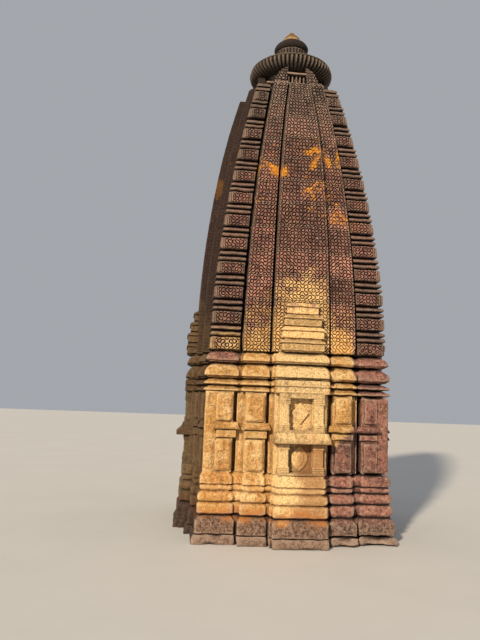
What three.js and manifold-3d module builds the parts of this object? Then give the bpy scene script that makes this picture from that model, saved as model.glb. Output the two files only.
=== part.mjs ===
// A small stone temple: one square shrine room under a tall curved tower.
// Millimetres, +Z up. The origin is on the tower's axis at ground level.
// The front in the photograph faces -Y, and the doorway is in the opposite (+Y) side.
import * as THREE from 'three';
import { mergeVertices } from 'three/addons/utils/BufferGeometryUtils.js';
import Module from 'manifold-3d';

const wasm = await Module();
wasm.setup();

// Plan of the walls. Each side has two corner bays, two side bays and a centre bay with
// a narrower face in front, and each stands further out than the one before it. There are
// recesses between the bays, and the mouldings return round the bays into them, up to a limit.
// The eaves and cornices reach further into them, by COURSE_REACH plus COURSE_HIP of the outset.
const WALL_HALF = 1195;
const SIDE_STEP = 70;
const CENTRE_STEP = 140;
const FACET_STEP = 215;
const CORNER_INNER = 825;
const SIDE_OUTER = 685;
const SIDE_INNER = 425;
const CENTRE_HALF = 330;
const FACET_HALF = 300;
const RECESS_DEPTH = 50;
const INNER_RETURN = 40;
const OUTER_RETURN = 60;
const COURSE_REACH = 50;
const COURSE_HIP = 0.6;
const PIER_INNER = (CORNER_INNER + SIDE_OUTER) / 2;
const CHAMBER_HALF = 660;

// Heights of the main stages
const FOOTING_TOP = 110;
const PLINTH_TOP = 840;
const WALL_TOP = 1824;
const LOWER_EAVE_TOP = 1907;
const UPPER_EAVE_TOP = 1994;
const LOWER_CORNICE_TOP = 2192;
const SPIRE_BASE = 2344;
const STOREYS = 12;
const STOREY_HEIGHT = 335;
const CORNER_TOP = SPIRE_BASE + STOREYS * STOREY_HEIGHT;
const CENTRE_TOP = 6290;
const HORN_TIP = 6695;

// Spire: half widths at its base, how much each draws in by the top, and how late
const SPIRE_HALF = 1153;
const SPIRE_TAPER = 0.485;
const SPIRE_POWER = 1.8;
const SPIRE_CENTRE = 1288;
const CENTRE_TAPER = 0.392;
const CENTRE_POWER = 2.28;
const SIDE_SHARE = 0.52;
const SPIRE_CORNER_INNER = 0.668;
const SPIRE_SIDE_OUTER = 0.628;
const SPIRE_SIDE_INNER = 0.342;
const SPIRE_CENTRE_HALF = 0.312;
const TOP_NARROWING = 0.3;
const SPIRE_SLOT_DEPTH = 110;
const STOREY_RECESS = 28;
const BLOCK_SHARE = 0.51;
const FIT = 0.3;

// Doorway, in the +Y side
const DOOR_HALF = 310;
const DOOR_SILL = 180;
const DOOR_TOP = 1700;
const JAMB_FACE = WALL_HALF + CENTRE_STEP + 45;

// Niches, one above the other in the centre bay of the three closed sides
const FRAME_HALF = 282;
const NICHE_HALF = 148;
const LOWER_NICHE = [868, 1196];
const UPPER_NICHE = [1407, 1768];
const MID_EAVE_HALF = 350;
const MID_EAVE_FACE = 1520;
const MID_EAVE_BOTTOM = 1222;
const MID_EAVE_LIP = 1258;
const MID_EAVE_SLOPE_TOP = 1325;
const MID_SILL_TOP = 1380;
const MID_SILL_OUT = 25;

// Horns: where the side bands end. Each draws in over a rounded shoulder, then stands upright
// with its tip against the underside of the crown.
const HORN_TIP_X = 130;
const HORN_TIP_FACE = 535;
const HORN_SWEEP = 0.985;
const HORN_SHOULDER = 0.3;

// Miniature shrine at the foot of each centre band: [half width, face] of its tiers
const FOOT_SHRINE_TIER = 158;
const FOOT_SHRINE_TIERS = [[278, 1430], [272, 1428], [245, 1395], [212, 1350]];
const FOOT_SHRINE_RECESS = 22;
const SLAB_SHARE = 0.8;
const RECESS_SHARE = 0.85;
const OVERLAP = 1;

// Crown
const VEDI_HALF = 440;
const VEDI_TOP = 6500;
const NECK_RADIUS = 425;
const NECK_TOP = 6700;
const CROWN_SEGMENTS = 32;
const AMALAKA_RIBS = 60;
const AMALAKA_PROFILE = [
  [440, 6700, 0], [545, 6712, 18], [622, 6757, 22], [650, 6812, 22], [628, 6862, 6],
  [600, 6885, 0], [520, 6915, 0], [330, 6930, 0],
];
const PETAL_RING_PROFILE = [
  [0, 6930], [330, 6930], [262, 7010], [240, 7080], [240, 7215], [225, 7230], [0, 7230],
];
const CAP_DISC_PROFILE = [
  [0, 7230], [200, 7230], [262, 7275], [266, 7330], [215, 7395], [150, 7410], [0, 7410],
];
const FINIAL_PROFILE = [
  [0, 7410], [150, 7410], [155, 7450], [140, 7490], [110, 7530], [75, 7560], [40, 7595], [0, 7620],
];

const STONE = { walls: 0xb98a52, spire: 0x8a6450, crown: 0x6f6355, base: 0x6b5648 };

const temple = new THREE.Group();
temple.name = 'stone_temple';

// Closed solid through rings of [x, y, z] points, each anticlockwise seen from above.
function loft(rings) {
  const positions = [];
  const found = new Map();
  const indexOf = (point) => {
    const key = point.map((value) => value.toFixed(3)).join(' ');
    if (!found.has(key)) {
      found.set(key, positions.length / 3);
      positions.push(...point);
    }
    return found.get(key);
  };
  const triangles = [];
  const addTriangle = (a, b, c) => {
    if (a !== b && b !== c && c !== a) triangles.push(a, b, c);
  };
  const cap = (ring, upward) => {
    const flat = ring.map(([x, y]) => new THREE.Vector2(x, y));
    for (const [a, b, c] of THREE.ShapeUtils.triangulateShape(flat, [])) {
      const corners = [ring[a], ring[b], ring[c]].map(indexOf);
      addTriangle(...(upward ? corners : corners.reverse()));
    }
  };
  cap(rings[0], false);
  for (let level = 1; level < rings.length; level++) {
    const lower = rings[level - 1].map(indexOf);
    const upper = rings[level].map(indexOf);
    for (let i = 0; i < lower.length; i++) {
      const next = (i + 1) % lower.length;
      addTriangle(lower[i], lower[next], upper[next]);
      addTriangle(lower[i], upper[next], upper[i]);
    }
  }
  cap(rings[rings.length - 1], true);
  const geometry = new THREE.BufferGeometry();
  geometry.setAttribute('position', new THREE.Float32BufferAttribute(positions, 3));
  geometry.setIndex(triangles);
  return geometry;
}

// Joins overlapping closed geometries into one.
function join(geometries) {
  const solids = geometries.map((geometry) => {
    const bare = new THREE.BufferGeometry();
    bare.setAttribute('position', geometry.getAttribute('position'));
    bare.setIndex(geometry.getIndex());
    const merged = mergeVertices(bare, 1e-3);
    return new wasm.Manifold(new wasm.Mesh({
      numProp: 3,
      vertProperties: new Float32Array(merged.getAttribute('position').array),
      triVerts: new Uint32Array(merged.getIndex().array),
    }));
  });
  const mesh = solids.reduce((total, solid) => total.add(solid)).getMesh();
  const geometry = new THREE.BufferGeometry();
  geometry.setAttribute('position', new THREE.BufferAttribute(mesh.vertProperties, 3));
  geometry.setIndex(new THREE.BufferAttribute(mesh.triVerts, 1));
  return geometry;
}

function box([x0, x1], [y0, y1], [z0, z1]) {
  const geometry = new THREE.BoxGeometry(x1 - x0, y1 - y0, z1 - z0);
  return geometry.translate((x0 + x1) / 2, (y0 + y1) / 2, (z0 + z1) / 2);
}

// Prism along X whose section is a list of [out, z] corners, out measured towards -Y
// and the corners given anticlockwise as seen from +X.
function bar([x0, x1], section) {
  const shape = new THREE.Shape(section.map(([out, z]) => new THREE.Vector2(out, z)));
  const geometry = new THREE.ExtrudeGeometry(shape, { depth: x1 - x0, bevelEnabled: false });
  const toWorld = new THREE.Matrix4().makeBasis(
    new THREE.Vector3(0, -1, 0), new THREE.Vector3(0, 0, 1), new THREE.Vector3(-1, 0, 0));
  return geometry.applyMatrix4(toWorld).translate(x1, 0, 0);
}

function addPart(name, geometry, colour, quarterTurns = 0) {
  const material = new THREE.MeshStandardMaterial({ color: colour, roughness: 0.92, metalness: 0 });
  const mesh = new THREE.Mesh(geometry, material);
  mesh.name = name;
  mesh.rotation.z = quarterTurns * Math.PI / 2;
  temple.add(mesh);
}

const mirrored = (points) => points.map(([x, y]) => [-x, y]).reverse();

// Right half of one side, from the middle out to the corner bay's edge, at an outset and
// with its mouldings returning so far into the recesses.
function halfSide(out, turn = out) {
  const r = WALL_HALF + out;
  const inner = Math.min(turn, INNER_RETURN);
  const outer = Math.min(turn, OUTER_RETURN);
  return [
    [FACET_HALF + inner, -(r + FACET_STEP)],
    [FACET_HALF + inner, -(r + CENTRE_STEP)],
    [CENTRE_HALF + inner, -(r + CENTRE_STEP)],
    [CENTRE_HALF + inner, -(r + SIDE_STEP - RECESS_DEPTH)],
    [SIDE_INNER - inner, -(r + SIDE_STEP - RECESS_DEPTH)],
    [SIDE_INNER - inner, -(r + SIDE_STEP)],
    [SIDE_OUTER + outer, -(r + SIDE_STEP)],
    [SIDE_OUTER + outer, -(r - RECESS_DEPTH)],
    [CORNER_INNER - outer, -(r - RECESS_DEPTH)],
    [CORNER_INNER - outer, -r],
  ];
}

// Whole plan at an outset
function plan(out, turn = out) {
  const r = WALL_HALF + out;
  const half = halfSide(out, turn);
  const side = [[-r, -r], ...mirrored(half), ...half];
  return [0, 1, 2, 3].flatMap((turns) => side.map(([x, y]) => {
    const angle = turns * Math.PI / 2;
    const [cos, sin] = [Math.round(Math.cos(angle)), Math.round(Math.sin(angle))];
    return [x * cos - y * sin, x * sin + y * cos];
  }));
}

// Loft whose plan at each [height, outset] level is outline(outset).
function moulded(levels, outline) {
  return loft(levels.map(([z, outset]) => outline(outset).map(([x, y]) => [x, y, z])));
}

// Footing and plinth
const FOOTING_LEVELS = [[0, 95], [60, 90], [FOOTING_TOP, 66]];
const PLINTH_LEVELS = [
  [FOOTING_TOP, 56], [285, 56], [323, 18], [336, -18],
  [346, 20], [358, 34], [460, 34], [472, 18], [482, -14],
  [492, 6], [515, 26], [575, 26], [598, 6], [614, -20],
  [655, 10], [686, -20], [698, 10], [790, 10], [PLINTH_TOP, -16],
];
addPart('footing_course', moulded(FOOTING_LEVELS, (out) => plan(out)), STONE.base);

// End of a wall run past the chamber, round its outer corner to the first side bay
function cornerReturn(out) {
  const r = WALL_HALF + out;
  const outer = Math.min(out, OUTER_RETURN);
  return [
    [r, -r],
    [r, -(CORNER_INNER - outer)],
    [r - RECESS_DEPTH, -(CORNER_INNER - outer)],
    [r - RECESS_DEPTH, -(SIDE_OUTER + outer)],
    [r + SIDE_STEP, -(SIDE_OUTER + outer)],
    [r + SIDE_STEP, -CHAMBER_HALF],
  ];
}

function frontPlinth(out) {
  const right = [...halfSide(out), ...cornerReturn(out)];
  return [...mirrored(right), ...right];
}

function sidePlinth(out) {
  const r = WALL_HALF + out;
  const right = [
    ...halfSide(out).slice(0, 6), [CHAMBER_HALF, -(r + SIDE_STEP)], [CHAMBER_HALF, -CHAMBER_HALF],
  ];
  return [...mirrored(right), ...right];
}

function backPlinth(out) {
  const r = WALL_HALF + out;
  const run = [[SIDE_INNER, -(r + SIDE_STEP)], ...halfSide(out).slice(6), ...cornerReturn(out)];
  return [...run, [SIDE_INNER, -CHAMBER_HALF]];
}

addPart('plinth_front', moulded(PLINTH_LEVELS, frontPlinth), STONE.walls);
addPart('plinth_right', moulded(PLINTH_LEVELS, sidePlinth), STONE.walls, 1);
addPart('plinth_left', moulded(PLINTH_LEVELS, sidePlinth), STONE.walls, -1);
addPart('plinth_back_left', moulded(PLINTH_LEVELS, backPlinth), STONE.walls, 2);
addPart('plinth_back_right', moulded(PLINTH_LEVELS, (out) => mirrored(backPlinth(out))), STONE.walls, 2);

// Walls: two storeys of bays with a block course and a small sloping eave between them
const WALL_LEVELS = [
  [PLINTH_TOP, 0], [1252, 0], [1262, 10], [1350, 10], [1356, 0],
  [1362, 40], [1378, 40], [1450, 2], [WALL_TOP, 0],
];

function cornerPier(out) {
  const r = WALL_HALF + out;
  const recess = WALL_HALF - RECESS_DEPTH;
  const edge = CORNER_INNER - out;
  return [
    [-r, -r], [-edge, -r], [-edge, -recess], [-PIER_INNER, -recess],
    [-PIER_INNER, -PIER_INNER], [-recess, -PIER_INNER], [-recess, -edge], [-r, -edge],
  ];
}

// Side bay from its recess by the centre bay to the corner pier; the centre bay has no mouldings.
function halfWall(out) {
  const r = WALL_HALF + out;
  const recess = WALL_HALF - RECESS_DEPTH;
  return [
    [CENTRE_HALF, -(WALL_HALF + CENTRE_STEP)],
    [CENTRE_HALF, -(recess + SIDE_STEP)],
    [SIDE_INNER - out, -(recess + SIDE_STEP)],
    [SIDE_INNER - out, -(r + SIDE_STEP)],
    [SIDE_OUTER + out, -(r + SIDE_STEP)],
    [SIDE_OUTER + out, -recess],
    [PIER_INNER, -recess],
  ];
}

function frontWall(out) {
  const right = [...halfWall(out), [PIER_INNER, -CHAMBER_HALF]];
  return [...mirrored(right), ...right];
}

function sideWall(out) {
  const right = [...halfWall(out), [PIER_INNER, -PIER_INNER], [CHAMBER_HALF, -PIER_INNER],
    [CHAMBER_HALF, -CHAMBER_HALF]];
  return [...mirrored(right), ...right];
}

function doorWall(out) {
  return [
    [SIDE_INNER, -(WALL_HALF + SIDE_STEP + out)], ...halfWall(out).slice(4),
    [PIER_INNER, -CHAMBER_HALF], [SIDE_INNER, -CHAMBER_HALF],
  ];
}

['front_left', 'front_right', 'back_right', 'back_left'].forEach((place, turns) => {
  addPart(`corner_pier_${place}`, moulded(WALL_LEVELS, cornerPier), STONE.walls, turns);
});
addPart('wall_front', moulded(WALL_LEVELS, frontWall), STONE.walls);
addPart('wall_right', moulded(WALL_LEVELS, sideWall), STONE.walls, 1);
addPart('wall_left', moulded(WALL_LEVELS, sideWall), STONE.walls, -1);
addPart('wall_back_left', moulded(WALL_LEVELS, doorWall), STONE.walls, 2);
addPart('wall_back_right', moulded(WALL_LEVELS, (out) => mirrored(doorWall(out))), STONE.walls, 2);

// Niche frames: two openings between pilasters, a deep sloping eave between them
function nicheFrame() {
  const back = WALL_HALF + CENTRE_STEP;
  const face = WALL_HALF + FACET_STEP;
  const upright = (x0, x1) => box([x0, x1], [-face, -back], [PLINTH_TOP, WALL_TOP]);
  const rail = (z0, z1) => box([-FRAME_HALF, FRAME_HALF], [-face, -back], [z0, z1]);
  const eave = bar([-MID_EAVE_HALF, MID_EAVE_HALF], [
    [back, MID_EAVE_BOTTOM], [MID_EAVE_FACE, MID_EAVE_BOTTOM], [MID_EAVE_FACE, MID_EAVE_LIP],
    [face + MID_SILL_OUT, MID_EAVE_SLOPE_TOP], [face + MID_SILL_OUT, MID_SILL_TOP],
    [back, MID_SILL_TOP],
  ]);
  return join([
    upright(-FRAME_HALF, -NICHE_HALF),
    upright(NICHE_HALF, FRAME_HALF),
    rail(PLINTH_TOP, LOWER_NICHE[0]),
    rail(LOWER_NICHE[1], UPPER_NICHE[0]),
    rail(UPPER_NICHE[1], WALL_TOP),
    eave,
  ]);
}

addPart('niche_frame_front', nicheFrame(), STONE.walls);
addPart('niche_frame_right', nicheFrame(), STONE.walls, 1);
addPart('niche_frame_left', nicheFrame(), STONE.walls, -1);

// Door frame, made facing -Y and turned to the back
function addDoorStone(name, span, heights) {
  addPart(name, box(span, [-JAMB_FACE, -CHAMBER_HALF], heights), STONE.walls, 2);
}

addDoorStone('door_jamb_left', [DOOR_HALF, SIDE_INNER], [FOOTING_TOP, DOOR_TOP]);
addDoorStone('door_jamb_right', [-SIDE_INNER, -DOOR_HALF], [FOOTING_TOP, DOOR_TOP]);
addDoorStone('door_lintel', [-SIDE_INNER, SIDE_INNER], [DOOR_TOP, WALL_TOP]);
addDoorStone('door_threshold', [-DOOR_HALF, DOOR_HALF], [FOOTING_TOP, DOOR_SILL]);

// Eave and cornice courses, which also close the chamber: [height, outset] levels
const COURSES = {
  eave_lower: [[WALL_TOP, -14], [1848, 6], [1872, 6], [LOWER_EAVE_TOP, -48]],
  eave_upper: [[LOWER_EAVE_TOP, -48], [1928, 2], [1952, 2], [UPPER_EAVE_TOP, -56]],
  cornice_lower: [[UPPER_EAVE_TOP, -56], [2004, -10], [2018, 4], [2075, 4], [LOWER_CORNICE_TOP, -78]],
  cornice_upper: [[LOWER_CORNICE_TOP, -78], [2206, -26], [2250, -4], [2272, -4], [SPIRE_BASE, -76]],
};
for (const [name, levels] of Object.entries(COURSES)) {
  const outline = (out) => plan(out, COURSE_REACH + COURSE_HIP * out);
  addPart(name, moulded(levels, outline), STONE.walls);
}

// Spire outline: 0 at its base, 1 at the top of the corner bands
const rise = (z) => (z - SPIRE_BASE) / (CORNER_TOP - SPIRE_BASE);
const spireHalf = (z) => SPIRE_HALF * (1 - SPIRE_TAPER * rise(z) ** SPIRE_POWER);
const centreFace = (z) => SPIRE_CENTRE * (1 - CENTRE_TAPER * rise(z) ** CENTRE_POWER);
const sideFace = (z) => spireHalf(z) + SIDE_SHARE * (centreFace(z) - spireHalf(z));
const narrowing = (z, share) => 1 - share * TOP_NARROWING * rise(z) ** 7;
const centreHalf = (z) => SPIRE_CENTRE_HALF * spireHalf(z) * narrowing(z, 1);
const sideInner = (z) => SPIRE_SIDE_INNER * spireHalf(z) * narrowing(z, 0.8);
const sideOuter = (z) => SPIRE_SIDE_OUTER * spireHalf(z) * narrowing(z, 0.2);
const cornerInner = (z) => SPIRE_CORNER_INNER * spireHalf(z);

const storeyLevel = (storey) => SPIRE_BASE + storey * STOREY_HEIGHT;
const storeyLevels = Array.from({ length: STOREYS + 1 }, (_, storey) => storeyLevel(storey));

// Line between the corner bands and what they flank, straight within each storey
function bandLine(z) {
  const storey = Math.min(Math.floor((z - SPIRE_BASE) / STOREY_HEIGHT), STOREYS - 1);
  const [low, high] = [storeyLevel(storey), storeyLevel(storey + 1)];
  const line = (level) => (cornerInner(level) + sideOuter(level)) / 2;
  return line(low) + (line(high) - line(low)) * (z - low) / STOREY_HEIGHT;
}

const squareRing = (half, z) => [[-half, -half, z], [half, -half, z], [half, half, z], [-half, half, z]];
addPart('spire_core', loft(storeyLevels.map((z) => squareRing(bandLine(z) - FIT / 2, z))), STONE.spire);

// Corner band of the spire: a stack of storeys, each a block over a recessed stage
function cornerBandRing(z, inset) {
  const outer = spireHalf(z) - inset;
  const edge = cornerInner(z);
  const inner = bandLine(z) + FIT / 2;
  const slot = spireHalf(z) - SPIRE_SLOT_DEPTH;
  return [
    [-outer, -outer], [-edge, -outer], [-edge, -slot], [-inner, -slot],
    [-inner, -inner], [-slot, -inner], [-slot, -edge], [-outer, -edge],
  ].map(([x, y]) => [x, y, z]);
}

function cornerBand() {
  const rings = [];
  for (let storey = 0; storey < STOREYS; storey++) {
    const low = storeyLevel(storey);
    const blockTop = low + BLOCK_SHARE * STOREY_HEIGHT;
    rings.push(cornerBandRing(low, 0), cornerBandRing(blockTop, 0));
    rings.push(cornerBandRing(blockTop, STOREY_RECESS), cornerBandRing(low + STOREY_HEIGHT, STOREY_RECESS));
  }
  return loft(rings);
}

['front_left', 'front_right', 'back_right', 'back_left'].forEach((place, turns) => {
  addPart(`spire_corner_${place}`, cornerBand(), STONE.spire, turns);
});

// Three tall bands on each side of the spire, with slots between them
function band(levels, x0, x1, face, back) {
  return loft(levels.map((z) => [
    [x0(z), -face(z), z], [x1(z), -face(z), z], [x1(z), -back(z), z], [x0(z), -back(z), z],
  ]));
}

const bandBack = (z) => bandLine(Math.min(z, CORNER_TOP)) + FIT / 2;
const slotBack = (z) => sideFace(z) - SPIRE_SLOT_DEPTH;
const backingHalf = (z) => bandLine(z) - FIT / 2;

// Above the corner bands the side bands run on as horns.
const HORN_STEPS = 10;
const HORN_BASE = CORNER_TOP - 40;

function horn(side) {
  const rings = [];
  for (let step = 0; step <= HORN_STEPS; step++) {
    const share = step / HORN_STEPS;
    const z = HORN_BASE + share * (HORN_TIP - HORN_BASE);
    const bow = Math.sqrt(1 - (HORN_SWEEP * share) ** 2);
    const inner = THREE.MathUtils.lerp(sideInner(HORN_BASE), HORN_TIP_X, share);
    const outer = inner + (sideOuter(HORN_BASE) - sideInner(HORN_BASE)) * bow;
    const lean = Math.sqrt(1 - Math.min(share / HORN_SHOULDER, 1) ** 2);
    const face = HORN_TIP_FACE + (sideFace(HORN_BASE) - HORN_TIP_FACE) * lean;
    const [x0, x1] = side > 0 ? [inner, outer] : [-outer, -inner];
    const back = VEDI_HALF + FIT;
    rings.push([[x0, -face, z], [x1, -face, z], [x1, -back, z], [x0, -back, z]]);
  }
  return loft(rings);
}

function spireFace() {
  const bodyLevels = [...storeyLevels.slice(0, -1), CENTRE_TOP];
  return join([
    band(storeyLevels, (z) => -backingHalf(z), backingHalf, slotBack, bandBack),
    band(bodyLevels, (z) => -centreHalf(z), centreHalf, centreFace, bandBack),
    band(storeyLevels, sideInner, sideOuter, sideFace, bandBack),
    band(storeyLevels, (z) => -sideOuter(z), (z) => -sideInner(z), sideFace, bandBack),
    horn(1),
    horn(-1),
  ]);
}

const SIDES = ['front', 'right', 'back', 'left'];
SIDES.forEach((place, turns) => {
  addPart(`spire_face_${place}`, spireFace(), STONE.spire, turns);
});

// Miniature shrine of four stepped slabs at the foot of each centre band
function footShrine() {
  const slabs = FOOT_SHRINE_TIERS.map(([half, face], tier) => {
    const low = SPIRE_BASE + tier * FOOT_SHRINE_TIER;
    const back = centreFace(low) + FIT;
    const top = low + FOOT_SHRINE_TIER;
    const recessFace = face - FOOT_SHRINE_RECESS;
    return bar([-half, half], [
      [back, low], [face, low], [face, low + SLAB_SHARE * FOOT_SHRINE_TIER],
      [recessFace, low + RECESS_SHARE * FOOT_SHRINE_TIER],
      [recessFace, top + OVERLAP], [back, top + OVERLAP],
    ]);
  });
  return join(slabs);
}

SIDES.forEach((place, turns) => {
  addPart(`foot_shrine_${place}`, footShrine(), STONE.walls, turns);
});

// Crown: square slab and round neck, ribbed disc, petalled ring, small disc and finial
function turned(profile) {
  return new THREE.LatheGeometry(profile.map(([r, z]) => new THREE.Vector2(r, z)), CROWN_SEGMENTS)
    .rotateX(Math.PI / 2);
}

function ribbed(profile) {
  return loft(profile.map(([r, z, groove]) => {
    return Array.from({ length: 2 * AMALAKA_RIBS }, (_, i) => {
      const angle = i * Math.PI / AMALAKA_RIBS;
      const radius = i % 2 ? r : r - groove;
      return [radius * Math.cos(angle), radius * Math.sin(angle), z];
    });
  }));
}

const crownSlab = loft([squareRing(VEDI_HALF, CORNER_TOP), squareRing(VEDI_HALF, VEDI_TOP)]);
addPart('crown_slab', crownSlab, STONE.spire);
const neck = turned([[0, VEDI_TOP], [NECK_RADIUS, VEDI_TOP], [NECK_RADIUS, NECK_TOP], [0, NECK_TOP]]);
addPart('neck', neck, STONE.crown);
addPart('amalaka', ribbed(AMALAKA_PROFILE), STONE.crown);
addPart('petal_ring', turned(PETAL_RING_PROFILE), STONE.crown);
addPart('cap_disc', turned(CAP_DISC_PROFILE), STONE.crown);
addPart('finial', turned(FINIAL_PROFILE), STONE.walls);

export default temple;
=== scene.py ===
"""Looks of a small carved stone temple: worn masonry, a spire covered in relief, a ribbed crown.

Metres, +Z up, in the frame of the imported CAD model. Each stone is rebuilt here with its
mouldings, carving and worn edges, and stands for the plain CAD solid in the same place.
One side of the building is described facing -Y, as (x, -out, z), then turned to all four.
"""
import math
from functools import partial

import bmesh
import bpy
import numpy as np
from mathutils import Matrix, Vector, noise
from mathutils.geometry import delaunay_2d_cdt


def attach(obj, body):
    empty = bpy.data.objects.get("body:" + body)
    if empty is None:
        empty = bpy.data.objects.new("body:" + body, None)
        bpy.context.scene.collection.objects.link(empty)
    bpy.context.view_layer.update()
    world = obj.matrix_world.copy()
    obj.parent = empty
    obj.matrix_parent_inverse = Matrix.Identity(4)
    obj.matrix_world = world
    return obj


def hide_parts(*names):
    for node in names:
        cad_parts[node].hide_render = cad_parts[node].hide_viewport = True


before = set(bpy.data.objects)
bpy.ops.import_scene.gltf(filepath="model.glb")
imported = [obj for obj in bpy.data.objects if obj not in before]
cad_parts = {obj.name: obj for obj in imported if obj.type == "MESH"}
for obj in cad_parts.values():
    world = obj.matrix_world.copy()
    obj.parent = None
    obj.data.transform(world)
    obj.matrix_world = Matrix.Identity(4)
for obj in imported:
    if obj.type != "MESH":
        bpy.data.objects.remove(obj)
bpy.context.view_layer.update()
scene = bpy.context.scene

# Camera, solved from the photograph's horizon, corner edges and crown
CAMERA_PLACE = (-1.526, -8.459, 1.696)
CAMERA_PITCH = math.radians(8.09)
CAMERA_YAW = math.radians(5.81)
CAMERA_ROLL = math.radians(2.15)
FOCAL_PIXELS = 577.2
LONG_SIDE_PIXELS = 640
SENSOR = 36.0

# Plan: half width at the corner bays' face, and how far the other bays stand out from it
WALL_HALF = 1.195
SIDE_STEP = 0.070
CENTRE_STEP = 0.140
FACET_STEP = 0.215
CORNER_INNER = 0.825
SIDE_OUTER = 0.685
SIDE_INNER = 0.425
CENTRE_HALF = 0.330
FACET_HALF = 0.300
RECESS_DEPTH = 0.050
INNER_RETURN = 0.040
OUTER_RETURN = 0.060
PIER_INNER = (CORNER_INNER + SIDE_OUTER) / 2
CHAMBER_HALF = 0.660

# Heights of the main stages
FOOTING_TOP = 0.110
PLINTH_TOP = 0.840
WALL_TOP = 1.824
LOWER_EAVE_TOP = 1.907
UPPER_EAVE_TOP = 1.994
LOWER_CORNICE_TOP = 2.192
SPIRE_BASE = 2.344
STOREYS = 12
STOREY_HEIGHT = 0.335
CORNER_TOP = SPIRE_BASE + STOREYS * STOREY_HEIGHT
CENTRE_TOP = 6.290
HORN_TIP = 6.695

# Spire: half widths at its base, how much each draws in by the top, and how late
SPIRE_HALF = 1.153
SPIRE_TAPER = 0.485
SPIRE_POWER = 1.8
SPIRE_CENTRE = 1.288
CENTRE_TAPER = 0.392
CENTRE_POWER = 2.28
SIDE_SHARE = 0.52
SPIRE_CORNER_INNER = 0.668
SPIRE_SIDE_OUTER = 0.628
SPIRE_SIDE_INNER = 0.342
SPIRE_CENTRE_HALF = 0.312
TOP_NARROWING = 0.3
INNER_NARROWING = 0.8 * TOP_NARROWING
OUTER_NARROWING = 0.2 * TOP_NARROWING
NARROWING_POWER = 7
SPIRE_SLOT_DEPTH = 0.110
BLOCK_SHARE = 0.51

# Doorway, niches, horns
DOOR_HALF = 0.310
DOOR_SILL = 0.180
DOOR_TOP = 1.700
JAMB_FACE = WALL_HALF + CENTRE_STEP + 0.045
FRAME_HALF = 0.282
NICHE_HALF = 0.148
NICHE_DEPTH = 0.055
LOWER_NICHE = (0.868, 1.196)
UPPER_NICHE = (1.407, 1.768)
MID_EAVE_HALF = 0.350
MID_EAVE_FACE = 1.520
HORN_TIP_X = 0.130
HORN_TIP_FACE = 0.535
HORN_SWEEP = 0.985
HORN_SHOULDER = 0.3
HORN_BASE = CORNER_TOP - 0.040

# Crown
VEDI_HALF = 0.440
VEDI_TOP = 6.500
NECK_TOP = 6.700
AMALAKA_RIBS = 60

# How finely stones are divided, how far faces wander and how much edges have worn
STEP = 0.030
SAME_POINT = 1e-7
WELD_REACH = 2e-5
BEVEL = 0.006
MOST_CUT = 0.3
MITRE_LIMIT = 0.4
SHARP_ANGLE = math.radians(35)
NOISE_SEED = 5
RANDOM_SEED = 7
BROAD_NOISE = 0.11
FINE_NOISE = 0.045
FINE_PLACE = 9
FINE_SHARE = 0.7
ROUGHNESS = 0.0035
WEAR = 0.35
MEAN_WEAR = 0.55
SWAY = 0.004
SWAY_HEIGHT = 0.085

# The heavier wear at the front's right corner: where it starts, and how much heavier it is
WORN_FROM_X = (0.34, 0.44)
WORN_BELOW_Z = (2.50, 2.35)
WORN_ROUNDS = 3
WORN_PULL = 0.5
WORN_ROUGHER = 1.2

# Slots beside the side bays, and how far behind its neighbours a moulding counts as hidden
SLOT_WIDTH = 0.048
SLOT_BACK = 0.130
RECESS_REACH = 0.060
RECESS_START = 0.010
RECESS_SPAN = 0.030

noise.seed_set(NOISE_SEED)
random = np.random.default_rng(RANDOM_SEED)


# Mesh building

def turn_frame(quarters, mirrored):
    """Rows that take (x, y, z) of the front's frame to a side a number of quarter turns on."""
    cos, sin = ((1, 0), (0, 1), (-1, 0), (0, -1))[quarters % 4]
    flip = -1 if mirrored else 1
    return np.array([[cos * flip, sin * flip, 0], [-sin, cos, 0], [0, 0, 1]], float)


def facing_up(triangles, flat):
    """The triangles, each turned anticlockwise in the plane of the flat points."""
    a, b, c = (flat[triangles[:, i]] for i in range(3))
    area = (b[:, 0] - a[:, 0]) * (c[:, 1] - a[:, 1]) - (b[:, 1] - a[:, 1]) * (c[:, 0] - a[:, 0])
    turned = triangles.copy()
    turned[area < 0] = turned[area < 0][:, ::-1]
    return turned


def triangulated(points, edges, within=True):
    """Flat points, which given point each one is, and triangles, all or only those within the edges."""
    corners = [Vector(p) for p in points]
    corners, _, faces, origins, _, _ = delaunay_2d_cdt(corners, edges, [], int(within), SAME_POINT)
    flat = np.array([tuple(p) for p in corners])
    return flat, np.array([origin[0] for origin in origins]), facing_up(np.array(faces), flat)


def ring_edges(outline):
    return [(i, (i + 1) % len(outline)) for i in range(len(outline))]


def outline_triangles(outline):
    """Triangles that fill a flat outline of (x, y) points, anticlockwise."""
    _, names, faces = triangulated(outline, ring_edges(outline))
    return names[faces]


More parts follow.
